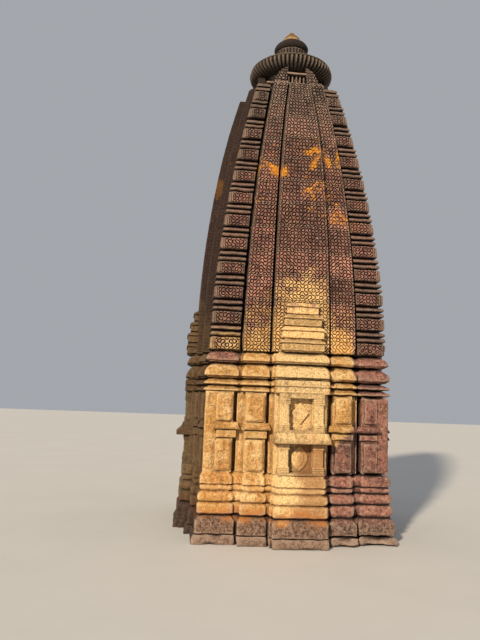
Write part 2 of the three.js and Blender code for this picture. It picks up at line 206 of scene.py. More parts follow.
class Stone:
    """One piece of stonework, gathered patch by patch in the frame of the side being built."""

    def __init__(self, quarters=0, mirrored=False):
        self.points, self.faces, self.depths, self.tones = [], [], [], []
        self.count = 0
        self.turn(quarters, mirrored)

    def turn(self, quarters, mirrored=False):
        """Takes up the frame of another side, or of its mirror image."""
        self.frame = turn_frame(quarters, mirrored)
        self.mirrored = mirrored
        return self

    def add(self, points, faces, depth=0.0, tone=0.5):
        """Adds faces over new points, which are 1 deep at a groove's bottom and darker at tone 0."""
        points = np.asarray(points, float).reshape(-1, 3) @ self.frame
        faces = np.asarray(faces)
        if self.mirrored:
            faces = faces[:, ::-1]
        self.points.append(points)
        self.depths.append(np.broadcast_to(depth, len(points)))
        self.tones.append(np.broadcast_to(tone, len(points)))
        self.faces.append(faces + self.count)
        self.count += len(points)

    def loft(self, rings, tone=0.5, depth=0.0, plane=(0, 1), caps=True):
        """Closed solid through rings of points, anticlockwise seen from the last ring's side."""
        rings = np.asarray(rings, float)
        levels, places = rings.shape[:2]
        index = np.arange(levels * places).reshape(levels, places)
        beside = np.roll(index, -1, 1)
        sides = np.stack([index[:-1], beside[:-1], beside[1:], index[1:]], -1).reshape(-1, 4)
        self.add(rings, sides, depth, tone)
        if caps:
            self.add(rings[0], outline_triangles(rings[0][:, plane])[:, ::-1], 0.0, tone)
            self.add(rings[-1], outline_triangles(rings[-1][:, plane]), 0.0, tone)

    def slab(self, outline, back, face, bevel=BEVEL, step=STEP, tone=0.5, crown=0.0):
        """Flat stone whose (x, z) outline faces out, with bevelled edges and a slightly crowned face."""
        edge = dense(outline, step)
        inner = inset(edge, bevel)
        rings = [standing(edge, back), standing(edge, face - bevel), standing(inner, face)]
        self.loft(rings, tone=tone, caps=False)
        self.add(rings[0], outline_triangles(edge)[:, ::-1], tone=tone)
        flat, triangles, rim = filled(inner, step)
        swell = crown * np.where(rim, 0.0, 1.0)
        self.add(np.column_stack([flat[:, 0], -(face + swell), flat[:, 1]]), triangles, 0.0, tone)

    def build(self, name, nodes, slot, material, rough=ROUGHNESS, wear=WEAR):
        """Makes the Blender object, worn and roughened, in place of the CAD nodes."""
        mesh = bpy.data.meshes.new(name)
        faces = [face for patch in self.faces for face in patch.tolist()]
        mesh.from_pydata(np.concatenate(self.points).tolist(), [], faces)
        for label, values in (("depth", self.depths), ("tone", self.tones)):
            layer = mesh.attributes.new(label, "FLOAT", "POINT")
            layer.data.foreach_set("value", np.concatenate(values).astype(np.float32))
        weld(mesh)
        weather(mesh, rough, wear)
        mesh.shade_smooth()
        mesh.set_sharp_from_angle(angle=SHARP_ANGLE)
        mesh.materials.append(material)
        piece = bpy.data.objects.new(name, mesh)
        scene.collection.objects.link(piece)
        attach(piece, "root")
        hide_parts(*nodes)


def weld(mesh):
    """Joins points that lie at the same place."""
    work = bmesh.new()
    work.from_mesh(mesh)
    bmesh.ops.remove_doubles(work, verts=work.verts, dist=WELD_REACH)
    work.to_mesh(mesh)
    work.free()


def wander(points, size):
    """Smooth noise vectors from -1 to 1 with features of the given size."""
    return np.array([noise.noise_vector(p) for p in (points / size).tolist()])


def eased(values, low, high):
    """Where values lie between low and high, from 0 to 1."""
    return np.clip((values - low) / (high - low), 0, 1)


def worn_share(points):
    """How much of the front right corner's heavier wear each point has, from 0 to 1."""
    x, _, z = points.T
    return (eased(x, *WORN_FROM_X) * eased(z, *WORN_BELOW_Z))[:, None]


def weather(mesh, rough, wear):
    """Rounds edges unevenly and lets the faces wander a little, but not below the ground."""
    points = np.zeros(len(mesh.vertices) * 3)
    mesh.vertices.foreach_get("co", points)
    points = points.reshape(-1, 3)
    edges = np.zeros(len(mesh.edges) * 2, int)
    mesh.edges.foreach_get("vertices", edges)
    ends = edges.reshape(-1, 2)
    ends = np.concatenate([ends, ends[:, ::-1]])
    broad = wander(points, BROAD_NOISE)
    fine = wander(points + FINE_PLACE, FINE_NOISE)
    worn = worn_share(points)
    count = np.maximum(np.bincount(ends[:, 0], minlength=len(points)), 1)[:, None]
    pulls = [wear * np.clip(MEAN_WEAR + broad[:, :1], 0, 1)]
    if wear and worn.any():
        pulls += [WORN_PULL * worn] * WORN_ROUNDS
    for pull in pulls:
        total = np.column_stack([
            np.bincount(ends[:, 0], points[ends[:, 1], axis], len(points)) for axis in range(3)])
        points = points + pull * (total / count - points)
    points = points + rough * (1 + WORN_ROUGHER * worn) * (broad + FINE_SHARE * fine)
    points[:, 2] = np.maximum(points[:, 2], 0.0)
    mesh.vertices.foreach_set("co", points.ravel())
    mesh.update()


def dense(points, step, closed=True):
    """An outline, or a profile if it isn't closed, with its sides divided to about the step."""
    points = np.asarray(points, float)
    ends = np.roll(points, -1, 0) if closed else points[1:]
    line = []
    for start, end in zip(points, ends):
        parts = max(1, round(np.linalg.norm(end - start) / step))
        line.extend(start + (end - start) * i / parts for i in range(parts))
    return np.array(line if closed else [*line, points[-1]])


def unit_left(along):
    """Unit vectors that point to the left of the given ones."""
    along = along / np.maximum(np.linalg.norm(along, axis=1, keepdims=True), 1e-9)
    return np.column_stack([-along[:, 1], along[:, 0]])


def inset(outline, distance):
    """An anticlockwise outline drawn in by a distance."""
    first = unit_left(outline - np.roll(outline, 1, 0))
    second = unit_left(np.roll(outline, -1, 0) - outline)
    middle = first + second
    return outline + distance * middle / np.maximum((middle * first).sum(1, keepdims=True), MITRE_LIMIT)


def inside(points, outline):
    """Which points lie within an outline."""
    x, y = points[:, :1], points[:, 1:]
    ax, ay = outline.T
    bx, by = np.roll(outline, -1, 0).T
    crosses = (ay > y) != (by > y)
    slope = np.where(by == ay, 1.0, by - ay)
    return (crosses & (x < ax + (y - ay) / slope * (bx - ax))).sum(1) % 2 == 1


def filled(outline, step):
    """Points and triangles that fill an outline on a fine grid, and which points are its rim."""
    low, high = outline.min(0), outline.max(0)
    grid = np.stack(np.meshgrid(*(np.arange(a + step / 2, b, step) for a, b in zip(low, high))), -1)
    grid = grid.reshape(-1, 2)
    grid = grid[inside(grid, inset(outline, 0.4 * step))] if len(grid) else grid
    flat, _, faces = triangulated(np.concatenate([outline, grid]), ring_edges(outline))
    rim = np.abs(flat[:, None] - outline[None]).sum(-1).min(1) < 1e-6
    return flat, faces, rim


def standing(outline, out):
    """(x, z) points stood up at a distance out from the tower's axis."""
    outline = np.asarray(outline, float)
    return np.column_stack([outline[:, 0], np.full(len(outline), -out), outline[:, 1]])


def rectangle(x0, x1, z0, z1):
    return np.array([(x0, z0), (x1, z0), (x1, z1), (x0, z1)], float)


def rounded(x0, x1, z0, z1, radius, steps=4):
    """Rectangle with rounded corners, anticlockwise from below on the right."""
    corners = [(x1 - radius, z0 + radius, -90), (x1 - radius, z1 - radius, 0),
               (x0 + radius, z1 - radius, 90), (x0 + radius, z0 + radius, 180)]
    ring = []
    for x, z, start in corners:
        for angle in np.radians(np.linspace(start, start + 90, steps + 1)):
            ring.append((x + radius * math.cos(angle), z + radius * math.sin(angle)))
    return np.array(ring)


# Profiles of mouldings, as (height, outset) points from the bottom up

LIP_RISE = 0.006
LIP_CUT = 0.012


def block(z0, z1, out, cut=0.008):
    return [(z0, out - cut), (z0 + cut, out), (z1 - cut, out), (z1, out - cut)]


def roll(z0, z1, inner, outer, steps=6):
    """Half-round moulding."""
    middle, half = (z0 + z1) / 2, (z1 - z0) / 2
    return [(middle + half * math.sin(a), inner + (outer - inner) * math.cos(a))
            for a in np.linspace(-math.pi / 2, math.pi / 2, steps + 1)]


def eave(z0, z1, out, top, lip=0.3, bend=0.75, steps=5):
    """Upright lip with a slope above it that draws in to top, hollow or swelling by its bend."""
    nose = z0 + lip * (z1 - z0)
    curve = [(nose + (z1 - nose) * s, out + (top - out) * s ** bend) for s in np.linspace(0, 1, steps)]
    return [(z0, out - LIP_CUT), (z0 + LIP_RISE, out), *curve]


def side_parts(corners, step):
    """How many parts each side of an outline is divided into."""
    sides = np.linalg.norm(np.roll(corners, -1, 0) - corners, axis=1)
    return np.maximum(1, np.round(sides / step)).astype(int)


def level_ring(corners, parts, z, bevel):
    """Ring of points round an outline at height z, each corner cut off by the bevel."""
    ring = []
    for start, end, count in zip(corners, np.roll(corners, -1, 0), parts):
        length = max(np.linalg.norm(end - start), 1e-6)
        cut = min(bevel, MOST_CUT * length) * (end - start) / length
        ring.append(start + cut + (end - start - 2 * cut) * np.linspace(0, 1, count + 1)[:, None])
    ring = np.concatenate(ring)
    return np.column_stack([ring, np.full(len(ring), z)])


def recess_depths(profile):
    """How deep each level lies behind the mouldings above and below it, from 0 to 1."""
    heights, outs = profile.T
    rise = heights[None] - heights[:, None]
    above, below = (np.where((side > -1e-6) & (side < RECESS_REACH), outs[None], -1.0).max(1)
                    for side in (rise, -rise))
    return np.clip((np.minimum(above, below) - outs - RECESS_START) / RECESS_SPAN, 0, 1)


def moulded(stone, profile, outline, step=STEP, tone=0.5, base=0.0, bevel=BEVEL):
    """Solid whose plan at each (height, outset) level of the profile is outline(outset, height)."""
    profile = dense(profile, step, closed=False)
    plans = [np.asarray(outline(out, base + z), float) for z, out in profile]
    parts = side_parts(np.asarray(outline(0.0, base + profile[0][0]), float), step)
    rings = [level_ring(plan, parts, base + z, bevel) for plan, (z, _) in zip(plans, profile)]
    stone.loft(rings, tone=tone, depth=np.repeat(recess_depths(profile), len(rings[0])))


def bar(stone, span, section, point=0.0, step=STEP, tone=0.5):
    """Length of stone along x with a section of (out, z) corners; its ends draw to a point below."""
    section = dense(section, step)
    parts = max(2, round((span[1] - span[0]) / step))
    low, high = section[:, 1].min(), section[:, 1].max()
    lean = point * (1 - (section[:, 1] - low) / (high - low))
    rings = []
    for share in np.linspace(0, 1, parts + 1):
        x = span[0] - lean + (span[1] - span[0] + 2 * lean) * share
        rings.append(np.column_stack([x, -section[:, 0], section[:, 1]]))
    stone.loft(rings, tone=tone, plane=(1, 2))


def post(stone, x0, x1, back, face, profile, tone=0.5, step=0.022):
    """Upright with a plan of x0 to x1 by back to face, drawn in or out along its height."""
    def outline(out, z):
        return [(x0 - out, -(face + out)), (x1 + out, -(face + out)), (x1 + out, -back), (x0 - out, -back)]
    moulded(stone, profile, outline, step, tone)


# Plans at an outset from the walls' faces, and at a height

def reflected(points):
    return [(-x, y) for x, y in reversed(points)]


def both_halves(right):
    return [*reflected(right), *right]


def mirrored_plan(plan):
    return lambda out, z: reflected(plan(out, z))


def square(half):
    return [(-half, -half), (half, -half), (half, half), (-half, half)]


def sway(z):
    """Sideways shift of the bays' edges at a height: they run unevenly from stone to stone."""
    return SWAY * noise.noise((0.5, 4.0, z / SWAY_HEIGHT))


def half_side(out, z, reach=0.0, hip=1.0):
    """Right half of one side at an outset; mouldings return round the bays into the recesses."""
    r = WALL_HALF + out
    inner, outer = (min(reach + hip * out, most) for most in (INNER_RETURN, OUTER_RETURN))
    facet, centre = FACET_HALF + inner, CENTRE_HALF + inner
    shift = sway(z)
    near, far, corner = SIDE_INNER - inner + shift, SIDE_OUTER + outer - shift, CORNER_INNER - outer - shift
    return [
        (facet, -(r + FACET_STEP)), (facet, -(r + CENTRE_STEP)),
        (centre, -(r + CENTRE_STEP)), (centre, -(r + SIDE_STEP - RECESS_DEPTH)),
        (near, -(r + SIDE_STEP - RECESS_DEPTH)), (near, -(r + SIDE_STEP)),
        (far, -(r + SIDE_STEP)), (far, -(r - RECESS_DEPTH)),
        (corner, -(r - RECESS_DEPTH)), (corner, -r),
    ]


def whole_plan(out, z, reach=0.0, hip=1.0):
    r = WALL_HALF + out
    half = half_side(out, z, reach, hip)
    side = [(-r, -r), *both_halves(half)]
    return np.concatenate([np.array(side) @ turn_frame(q, False)[:2, :2] for q in range(4)])


def corner_return(out, z):
    """End of a plinth run past the chamber, round its outer corner to the first side bay."""
    r = WALL_HALF + out
    outer, shift = min(out, OUTER_RETURN), sway(z)
    corner, side = CORNER_INNER - outer - shift, SIDE_OUTER + outer - shift
    return [(r, -r), (r, -corner), (r - RECESS_DEPTH, -corner), (r - RECESS_DEPTH, -side),
            (r + SIDE_STEP, -side), (r + SIDE_STEP, -CHAMBER_HALF)]


def front_plinth(out, z):
    return both_halves([*half_side(out, z), *corner_return(out, z)])


def side_plinth(out, z):
    r = WALL_HALF + out
    return both_halves([
        *half_side(out, z)[:6], (CHAMBER_HALF, -(r + SIDE_STEP)), (CHAMBER_HALF, -CHAMBER_HALF)])


def back_plinth(out, z):
    r = WALL_HALF + out
    run = [(SIDE_INNER, -(r + SIDE_STEP)), *half_side(out, z)[6:], *corner_return(out, z)]
    return [*run, (SIDE_INNER, -CHAMBER_HALF)]


def corner_pier(out, z):
    """Corner bay in its L-shaped plan, with a deep narrow slot beside the bay in each recess."""
    r = WALL_HALF + out
    recess = WALL_HALF - RECESS_DEPTH
    deep = recess - SLOT_BACK
    near = CORNER_INNER - SLOT_WIDTH
    half = [(-r, -r), (-CORNER_INNER, -r), (-CORNER_INNER, -deep), (-near, -deep), (-near, -recess),
            (-PIER_INNER, -recess), (-PIER_INNER, -PIER_INNER)]
    return [*half, *[(y, x) for x, y in reversed(half[1:-1])]]


def half_wall(out, z):
    """Side bay from its recess by the centre bay to the corner pier, with a slot in the recess."""
    r = WALL_HALF + out + SIDE_STEP
    recess, far_recess = WALL_HALF + SIDE_STEP - RECESS_DEPTH, WALL_HALF - RECESS_DEPTH
    slot = SIDE_INNER - SLOT_WIDTH
    return [
        (CENTRE_HALF, -(WALL_HALF + CENTRE_STEP)), (CENTRE_HALF, -recess),
        (slot, -recess), (slot, -(recess - SLOT_BACK)), (SIDE_INNER, -(recess - SLOT_BACK)),
        (SIDE_INNER, -r), (SIDE_OUTER, -r), (SIDE_OUTER, -far_recess), (PIER_INNER, -far_recess),
    ]


# Half of the shallow recess that the niches' backs are in, up the middle of a wall
CENTRE_WALL = WALL_HALF + CENTRE_STEP
NICHE_RECESS = [(NICHE_HALF, -(CENTRE_WALL - NICHE_DEPTH)), (NICHE_HALF, -CENTRE_WALL)]


def front_wall(out, z):
    return both_halves([*NICHE_RECESS, *half_wall(out, z), (PIER_INNER, -CHAMBER_HALF)])


def side_wall(out, z):
    return both_halves([*NICHE_RECESS, *half_wall(out, z), (PIER_INNER, -PIER_INNER),
                        (CHAMBER_HALF, -PIER_INNER), (CHAMBER_HALF, -CHAMBER_HALF)])


def door_wall(out, z):
    """Side bay beside the doorway, from its inner edge to the corner pier."""
    return [*half_wall(out, z)[5:], (PIER_INNER, -CHAMBER_HALF), (SIDE_INNER, -CHAMBER_HALF)]


# Stone material

# Sockets of a mix node that mixes colours
MIX_FACTOR, MIX_A, MIX_B, MIX_RESULT = 0, 6, 7, 2


class Value:
    """Output of a shader node; arithmetic with it makes further nodes."""

    def __init__(self, graph, socket):
        self.graph = graph
        self.socket = socket

    def math(self, operation, other=0.0):
        return self.graph.node("ShaderNodeMath", {0: self, 1: other}, operation=operation)

    def __add__(self, other):
        return self.math("ADD", other)

    def __sub__(self, other):
        return self.math("SUBTRACT", other)

    def __mul__(self, other):
        return self.math("MULTIPLY", other)

    def __abs__(self):
        return self.math("ABSOLUTE")

    def span(self, low, high, to_low=0.0, to_high=1.0):
        """The value's place between low and high, eased, as to_low to to_high."""
        values = {"Value": self, "From Min": low, "From Max": high, "To Min": to_low, "To Max": to_high}
        return self.graph.node("ShaderNodeMapRange", values, interpolation_type="SMOOTHSTEP")


class Graph:
    """Short forms for the shader nodes that the stone is mixed from."""

    def __init__(self, tree):
        self.tree = tree

    def node(self, kind, values=None, output=0, **settings):
        """One output of a new node, whose inputs are set or linked to the values."""
        made = self.tree.nodes.new(kind)
        for key, value in settings.items():
            setattr(made, key, value)
        for key, value in (values or {}).items():
            if isinstance(value, Value):
                self.tree.links.new(value.socket, made.inputs[key])
            else:
                made.inputs[key].default_value = value
        return Value(self, made.outputs[output])

    def mix(self, share, a, b, blend="MIX"):
        values = {MIX_FACTOR: share, MIX_A: a, MIX_B: b}
        return self.node("ShaderNodeMix", values, MIX_RESULT, data_type="RGBA", blend_type=blend)

    def noise(self, place, scale, detail=5.0, roughness=0.6, distortion=0.0):
        values = {"Vector": place, "Scale": scale, "Detail": detail, "Roughness": roughness,
                  "Distortion": distortion}
        return self.node("ShaderNodeTexNoise", values)

    def scale(self, colour, factor):
        """The colour times a number."""
        grey = self.node("ShaderNodeCombineXYZ", {0: factor, 1: factor, 2: factor})
        return self.mix(1.0, colour, grey, "MULTIPLY")

    def attribute(self, name):
        return self.node("ShaderNodeAttribute", output="Fac", attribute_name=name)


# Colours of the stone, of what grows or settles on it, and of painted sunlight and shade
GOLD = (0.54, 0.28, 0.088, 1)
PALE = (0.84, 0.58, 0.28, 1)
BUFF = (0.46, 0.33, 0.25, 1)
ROSE = (0.34, 0.150, 0.110, 1)
UMBER = (0.180, 0.082, 0.064, 1)
ORANGE = (0.50, 0.17, 0.035, 1)
SUN_PATCH_ORANGE = (0.95, 0.40, 0.030, 1)
SHADE_BROWN = (0.330, 0.130, 0.045, 1)
SOOT_AND_SHADE = (0.018, 0.012, 0.011, 1)
GREY = (0.125, 0.100, 0.080, 1)
MOSS = (0.085, 0.072, 0.045, 1)
DAMP = (0.045, 0.027, 0.022, 1)
CRUST = (0.330, 0.220, 0.165, 1)
LEFT_SHADE_DARK = (0.036, 0.021, 0.017, 1)


# Noises that the stone follows: their scale, detail and roughness
BROAD = (1.3, 4)
PATCH = (4.5, 6, 0.65)
MOTTLE = (24, 6, 0.72)
GRAIN = (60, 5, 0.75)
STREAK = (1.0, 6, 0.65, 0.6)
STREAK_STRETCH = (7, 7, 0.9)
SPOTS = (2.2, 5, 0.75, 0.5)

# Where kinds of stone, stain, painted sun patches and painted shade begin and end, in metres
SHADED_CORNER_HEIGHTS = (1.0, 1.6)
SHADED_CORNER_EDGES = (0.27, 0.80)
GREY_HEIGHTS = (4.6, 6.3)
RIGHT_SHADE_EDGE = (0.05, 0.20)
RIGHT_SHADE_TOP = (1.35, 1.26)
SUN_PATCH_FOOT = (3.9, 4.3)
SUN_PATCH_TOP = (5.5, 5.1)
LEFT_SHADE_EDGE = (0.0, 0.12)
HOLLOW_REACH = 0.08
BUMP_HEIGHT = 0.022
PIT_SCALE = 42.0


class StoneGraph(Graph):
    """Shader nodes of a stone: the places and noises that the layers of its colour follow."""

    def __init__(self, tree):
        super().__init__(tree)
        self.place = self.node("ShaderNodeTexCoord", output="Object")
        self.x, self.y, self.z = (self.node("ShaderNodeSeparateXYZ", {0: self.place}, axis) for axis in "XYZ")
        self.broad, self.patch, self.mottle, self.grain = (
            self.noise(self.place, *kind) for kind in (BROAD, PATCH, MOTTLE, GRAIN))
        stretched = self.node("ShaderNodeMapping", {"Vector": self.place, "Scale": STREAK_STRETCH})
        self.streak = self.noise(stretched, *STREAK)
        self.middle = abs(self.x).math("MINIMUM", abs(self.y))
        self.foot = self.z - self.patch * 0.45 - self.mottle * 0.18


def bare_and_shaded_share(g, gold_edge, blotch, centre, centre_span):
    """Share of rose stone against golden: 1 high up and at the right front corner. The gold is partly painted
    low sunlight; the rose is painted tree shade at the right front corner and partly painted tree shade high
    up.
    """
    # Painted tree shade: rose on the right, from x 0.27 m low down to x 0.80 m at 1.6 m high
    corner = g.x + g.patch * 0.25 - g.z.span(*SHADED_CORNER_HEIGHTS, *SHADED_CORNER_EDGES)
    waves = (g.noise(g.place, blotch[0], 5, 0.65) - 0.5) * blotch[1]
    edge = g.z + waves + g.middle.span(*centre_span, -centre, 0.0)
    return (edge + corner.math("MAXIMUM", 0.0) * 9.0).span(*gold_edge)


def base_colour(g, bare_and_shaded, bleach, grey, bright):
    """Golden stone with pale patches, or rose and umber that turn grey towards the top; the gold is partly
    painted low sunlight and the rose partly painted tree shade.
    """
    pale = g.patch.span(0.44, 0.64, 0.0, 0.8).math("MAXIMUM", g.middle.span(0.36, 0.30, 0.0, 0.9))
    gold = g.mix(pale * bleach, GOLD, PALE)
    rose = g.mix(g.patch.span(0.38, 0.58), UMBER, ROSE)
    rose = g.mix(g.z.span(*GREY_HEIGHTS, 0.0, grey), rose, GREY)
    colour = g.mix(bare_and_shaded, gold, rose)
    colour = g.mix(g.broad.span(0.60, 0.70) * 0.35, colour, ORANGE)
    # Darker at low tone: tones vary at random from stone to stone, and the low tones set for band flanks,
    # slot bottoms and the lower niche's back are painted shade
    return g.scale(colour, g.attribute("tone").span(0.0, 1.0, 0.50 * bright, 1.50 * bright))


def flaked(g, colour, rough, bright, dark):
    """Light flakes, dark pits, fine grain and streaks of soot."""
    light = g.mottle.span(0.52, 0.64) * rough.span(0, 1, 0.5, 0.6)
    colour = g.mix(light, colour, g.scale(g.mix(rough, PALE, BUFF), bright))
    colour = g.mix(g.mottle.span(0.47, 0.36) * rough.span(0, 1, 0.40, 0.85), colour, SOOT_AND_SHADE)
    colour = g.scale(colour, g.grain.span(0.36, 0.64, 0.62, 1.38))
    return g.mix(g.streak.span(0.54, 0.70) * (0.4 + dark), colour, SOOT_AND_SHADE)


def stained_and_shaded(g, colour, bare_and_shaded, growth):
    """Painted shade, brown low on the right of golden stone; orange above the foot; a damp foot; moss."""
    golden = bare_and_shaded * -1.0 + 1.0
    # Painted shade: golden stone turns brown on the +x half below about 1.3 m
    brown = (g.x + g.patch * 0.3).span(*RIGHT_SHADE_EDGE) * (g.z + g.patch * 0.2).span(*RIGHT_SHADE_TOP, 0.0, 0.7)
    colour = g.mix(brown * golden, colour, SHADE_BROWN)
    colour = g.mix(g.foot.span(0.18, 0.03, 0.0, 0.75) * golden, colour, ORANGE)
    damp = g.mix((g.mottle * 0.5 + g.grain * 0.5).span(0.43, 0.57), DAMP, CRUST)
    colour = g.mix(g.foot.span(0.06, -0.08, 0.0, 0.92), colour, damp)
    return g.mix(g.patch.span(0.40, 0.56) * growth, colour, MOSS)


def soot_shade_and_edge_light(g, colour, rough, gap, groove, shade):
    """Painted shade in corners and hollows; darker grooves, gaps and recesses, partly soot and partly painted
    shade; darker concave creases; lighter convex edges, partly rubbed stone and partly painted highlight.
    """
    edges = g.node("ShaderNodeNewGeometry", output="Pointiness")
    hollow = g.node("ShaderNodeAmbientOcclusion", {"Distance": HOLLOW_REACH}, "AO", samples=4)
    # Darker in concave creases, and lighter on convex edges: partly rubbed stone, partly painted highlight
    colour = g.mix(edges.span(0.50, 0.42) * rough.span(0, 1, 0.3, 0.7), colour, SOOT_AND_SHADE)
    colour = g.mix(edges.span(0.52, 0.58, 0.0, 0.6), colour, g.mix(rough, PALE, BUFF))
    # Darker by the depth attribute in grooves, gaps and recesses: partly soot, partly painted shade
    sunk = g.attribute("depth").span(0.0, groove) * rough.span(0, 1, gap, 0.97)
    colour = g.mix(sunk, colour, SOOT_AND_SHADE)
    # Painted shade: darker where ambient occlusion finds corners and hollows
    return g.mix(hollow.span(0.72, 0.28) * rough.span(0, 1, shade, 0.95), colour, SOOT_AND_SHADE)


def sun_patches_soot_and_left_shade(g, colour, sun_patches, soil, left_shade):
    """Painted sunlight as orange patches between two heights, soot all over, and painted shade on the left
    side.
    """
    # Painted sunlight: orange patches of low sun through trees, between two heights
    spots = g.noise(g.place, *SPOTS).span(0.550, 0.630) * g.z.span(*SUN_PATCH_FOOT, 0.0, sun_patches)
    colour = g.mix(spots * g.z.span(*SUN_PATCH_TOP), colour, SUN_PATCH_ORANGE)
    colour = g.mix(soil, colour, SOOT_AND_SHADE)
    # Painted shade: the left quarter of the plan, where -x passes |y|, is darkened as a side in shade
    left = g.x * -1.0 - abs(g.y) + (g.patch - 0.5) * 0.3
    return g.mix(left.span(*LEFT_SHADE_EDGE, 0.0, left_shade), colour, LEFT_SHADE_DARK)


def stone_bump(g):
    pits = g.node("ShaderNodeTexVoronoi", {"Vector": g.place, "Scale": PIT_SCALE}, feature="SMOOTH_F1")
    height = g.mottle * 1.6 + g.grain * 0.6 + pits.span(0.0, 0.35) * 0.5
    return g.node("ShaderNodeBump", {"Height": height, "Distance": BUMP_HEIGHT, "Strength": 1.0})


def stone_material(name, gold_edge, blotch=(1.3, 1.2), centre=0.0, centre_span=(0.25, 0.50), bright=1.0,
                   bleach=1.0, dark=0.0, grey=0.0, growth=0.0, sun_patches=0.0, soil=0.0, left_shade=0.84,
                   gap=0.97, groove=0.45, shade=0.45):
    """Weathered sandstone, golden low down and rose, umber or grey above, with soot and painted shade in its
    hollows.

    gold_edge: heights between which gold, partly painted low sunlight, ends; blotch: scale and height of that
    edge's waves
    centre, centre_span: how much higher gold reaches amid a side, and where that fades out
    bright, bleach, dark, grey: brightness, pale patches, dark streaks, greyness towards the top
    growth, sun_patches, soil, left_shade: shares of moss, painted orange sun patches, soot all over and
    painted shade on the left side
    gap, groove, shade: darkening in golden stone's gaps (soot and painted shade), depth at which a groove is
    black, painted shade in corners
    """
    material = bpy.data.materials.new(name)
    material.use_nodes = True
    tree = material.node_tree
    tree.nodes.clear()
    g = StoneGraph(tree)
    bare_and_shaded = bare_and_shaded_share(g, gold_edge, blotch, centre, centre_span)
    # Rose stone (partly painted tree shade) and the splashed foot are rougher and sootier than golden stone
    rough = bare_and_shaded.math("MAXIMUM", g.foot.span(0.16, 0.0))
    colour = base_colour(g, bare_and_shaded, bleach, grey, bright)
    colour = flaked(g, colour, rough, bright, dark)
    colour = stained_and_shaded(g, colour, bare_and_shaded, growth)
    colour = soot_shade_and_edge_light(g, colour, rough, gap, groove, shade)
    colour = sun_patches_soot_and_left_shade(g, colour, sun_patches, soil, left_shade)
    shader = g.node("ShaderNodeBsdfPrincipled", {
        "Base Color": colour, "Normal": stone_bump(g), "Roughness": g.mottle.span(0.3, 0.7, 0.78, 0.97),
        "Specular IOR Level": 0.25})
    tree.links.new(shader.socket, tree.nodes.new("ShaderNodeOutputMaterial").inputs[0])
    return material


wall_stone = stone_material("wall_stone_worn", (2.2, 3.0), blotch=(3.0, 0.8))
plinth_stone = stone_material("plinth_stone_stained", (2.0, 2.8), gap=0.15, shade=0.25, bright=1.15)
# Cornice: its rose corners are partly painted leaf shade and its gold amid each side partly painted sunlight
cornice_stone = stone_material("cornice_stone_worn", (2.10, 2.26), centre=0.5, centre_span=(0.66, 0.78),
                               blotch=(4.0, 0.35), shade=0.7)
shrine_stone = stone_material("foot_shrine_stone", (2.8, 3.2), blotch=(5.0, 1.8), bleach=0.6)
spire_stone = stone_material("spire_stone_carved", (2.4, 3.0), dark=0.1, grey=0.8, centre=0.45,
                             blotch=(5.0, 2.0), sun_patches=0.72, bleach=0.5, gap=0.6, groove=0.18, bright=1.2)
band_stone = stone_material("corner_band_stone", (2.3, 2.8), dark=0.2, grey=0.7, soil=0.35,
                            blotch=(5.0, 1.2), groove=0.18, bright=1.2)
crown_stone = stone_material("crown_stone_mossy", (0.0, 0.5), dark=0.4, grey=1.0, growth=0.8, left_shade=0.5,
                             soil=0.35)
cap_stone = stone_material("cap_stone_black", (0.0, 0.5), dark=0.4, grey=1.0, growth=0.5, soil=0.88)
finial_stone = stone_material("finial_stone_orange", (8.0, 9.0), growth=0.15, left_shade=0.5, bleach=0.0,
                               bright=0.5)

# Footing and plinth

FOOTING = [(0.0, 0.095), (0.06, 0.090), (FOOTING_TOP, 0.066)]
PLINTH = [
    *block(FOOTING_TOP, 0.285, 0.056, 0.014), (0.323, 0.018), (0.336, -0.018),
    *block(0.346, 0.472, 0.034, 0.014), (0.482, -0.014),
    *roll(0.492, 0.600, 0.0, 0.034), (0.612, -0.020),
    *roll(0.622, 0.686, -0.014, 0.012, 4), (0.692, -0.020),
    *block(0.698, 0.795, 0.012, 0.006), (PLINTH_TOP, -0.016),
]
PLINTH_STEP = 0.030
PLINTH_BEVEL = 0.014
stone = Stone()
moulded(stone, FOOTING, whole_plan, step=0.04, tone=0.35)
stone.build("worn_footing", ["footing_course"], "plinth_stone", plinth_stone, rough=0.009)

for name, plan, quarters in (
    ("front", front_plinth, 0),
    ("right", side_plinth, 1),
    ("left", side_plinth, 3),
    ("back_left", back_plinth, 2),
    ("back_right", mirrored_plan(back_plinth), 2),
):
    stone = Stone(quarters)
    moulded(stone, PLINTH, plan, PLINTH_STEP, bevel=PLINTH_BEVEL)
    stone.build(f"moulded_plinth_{name}", [f"plinth_{name}"], "plinth_stone", plinth_stone, rough=0.005)

# Walls

WALL_RECESS = -0.014
WALL_PROFILE = [(PLINTH_TOP, WALL_RECESS), (WALL_TOP, WALL_RECESS)]
LOWER_PANEL = (0.862, 1.244)
UPPER_PANEL = (1.462, 1.804)
MID_BLOCK = (1.262, 1.350)
MID_EAVE_FOOT = 1.360
CORNER_PANEL = (0.836, 1.040)
CORNER_BLOCK = (0.786, 1.032)
CORNER_EAVE = (0.772, 1.050)
SIDE_PANEL = (0.442, 0.674)
SIDE_BLOCK = (0.410, 0.690)
SIDE_EAVE = (0.388, 0.700)
PANEL_ROUND = 0.040
PANEL_OUT = 0.022
BLOCK_OUT = 0.036
EMBED = 0.04
SMALL_EAVE = [(-0.03, 0.0), (0.058, 0.004), (0.058, 0.020), (0.030, 0.050), (0.004, 0.090), (-0.03, 0.090)]


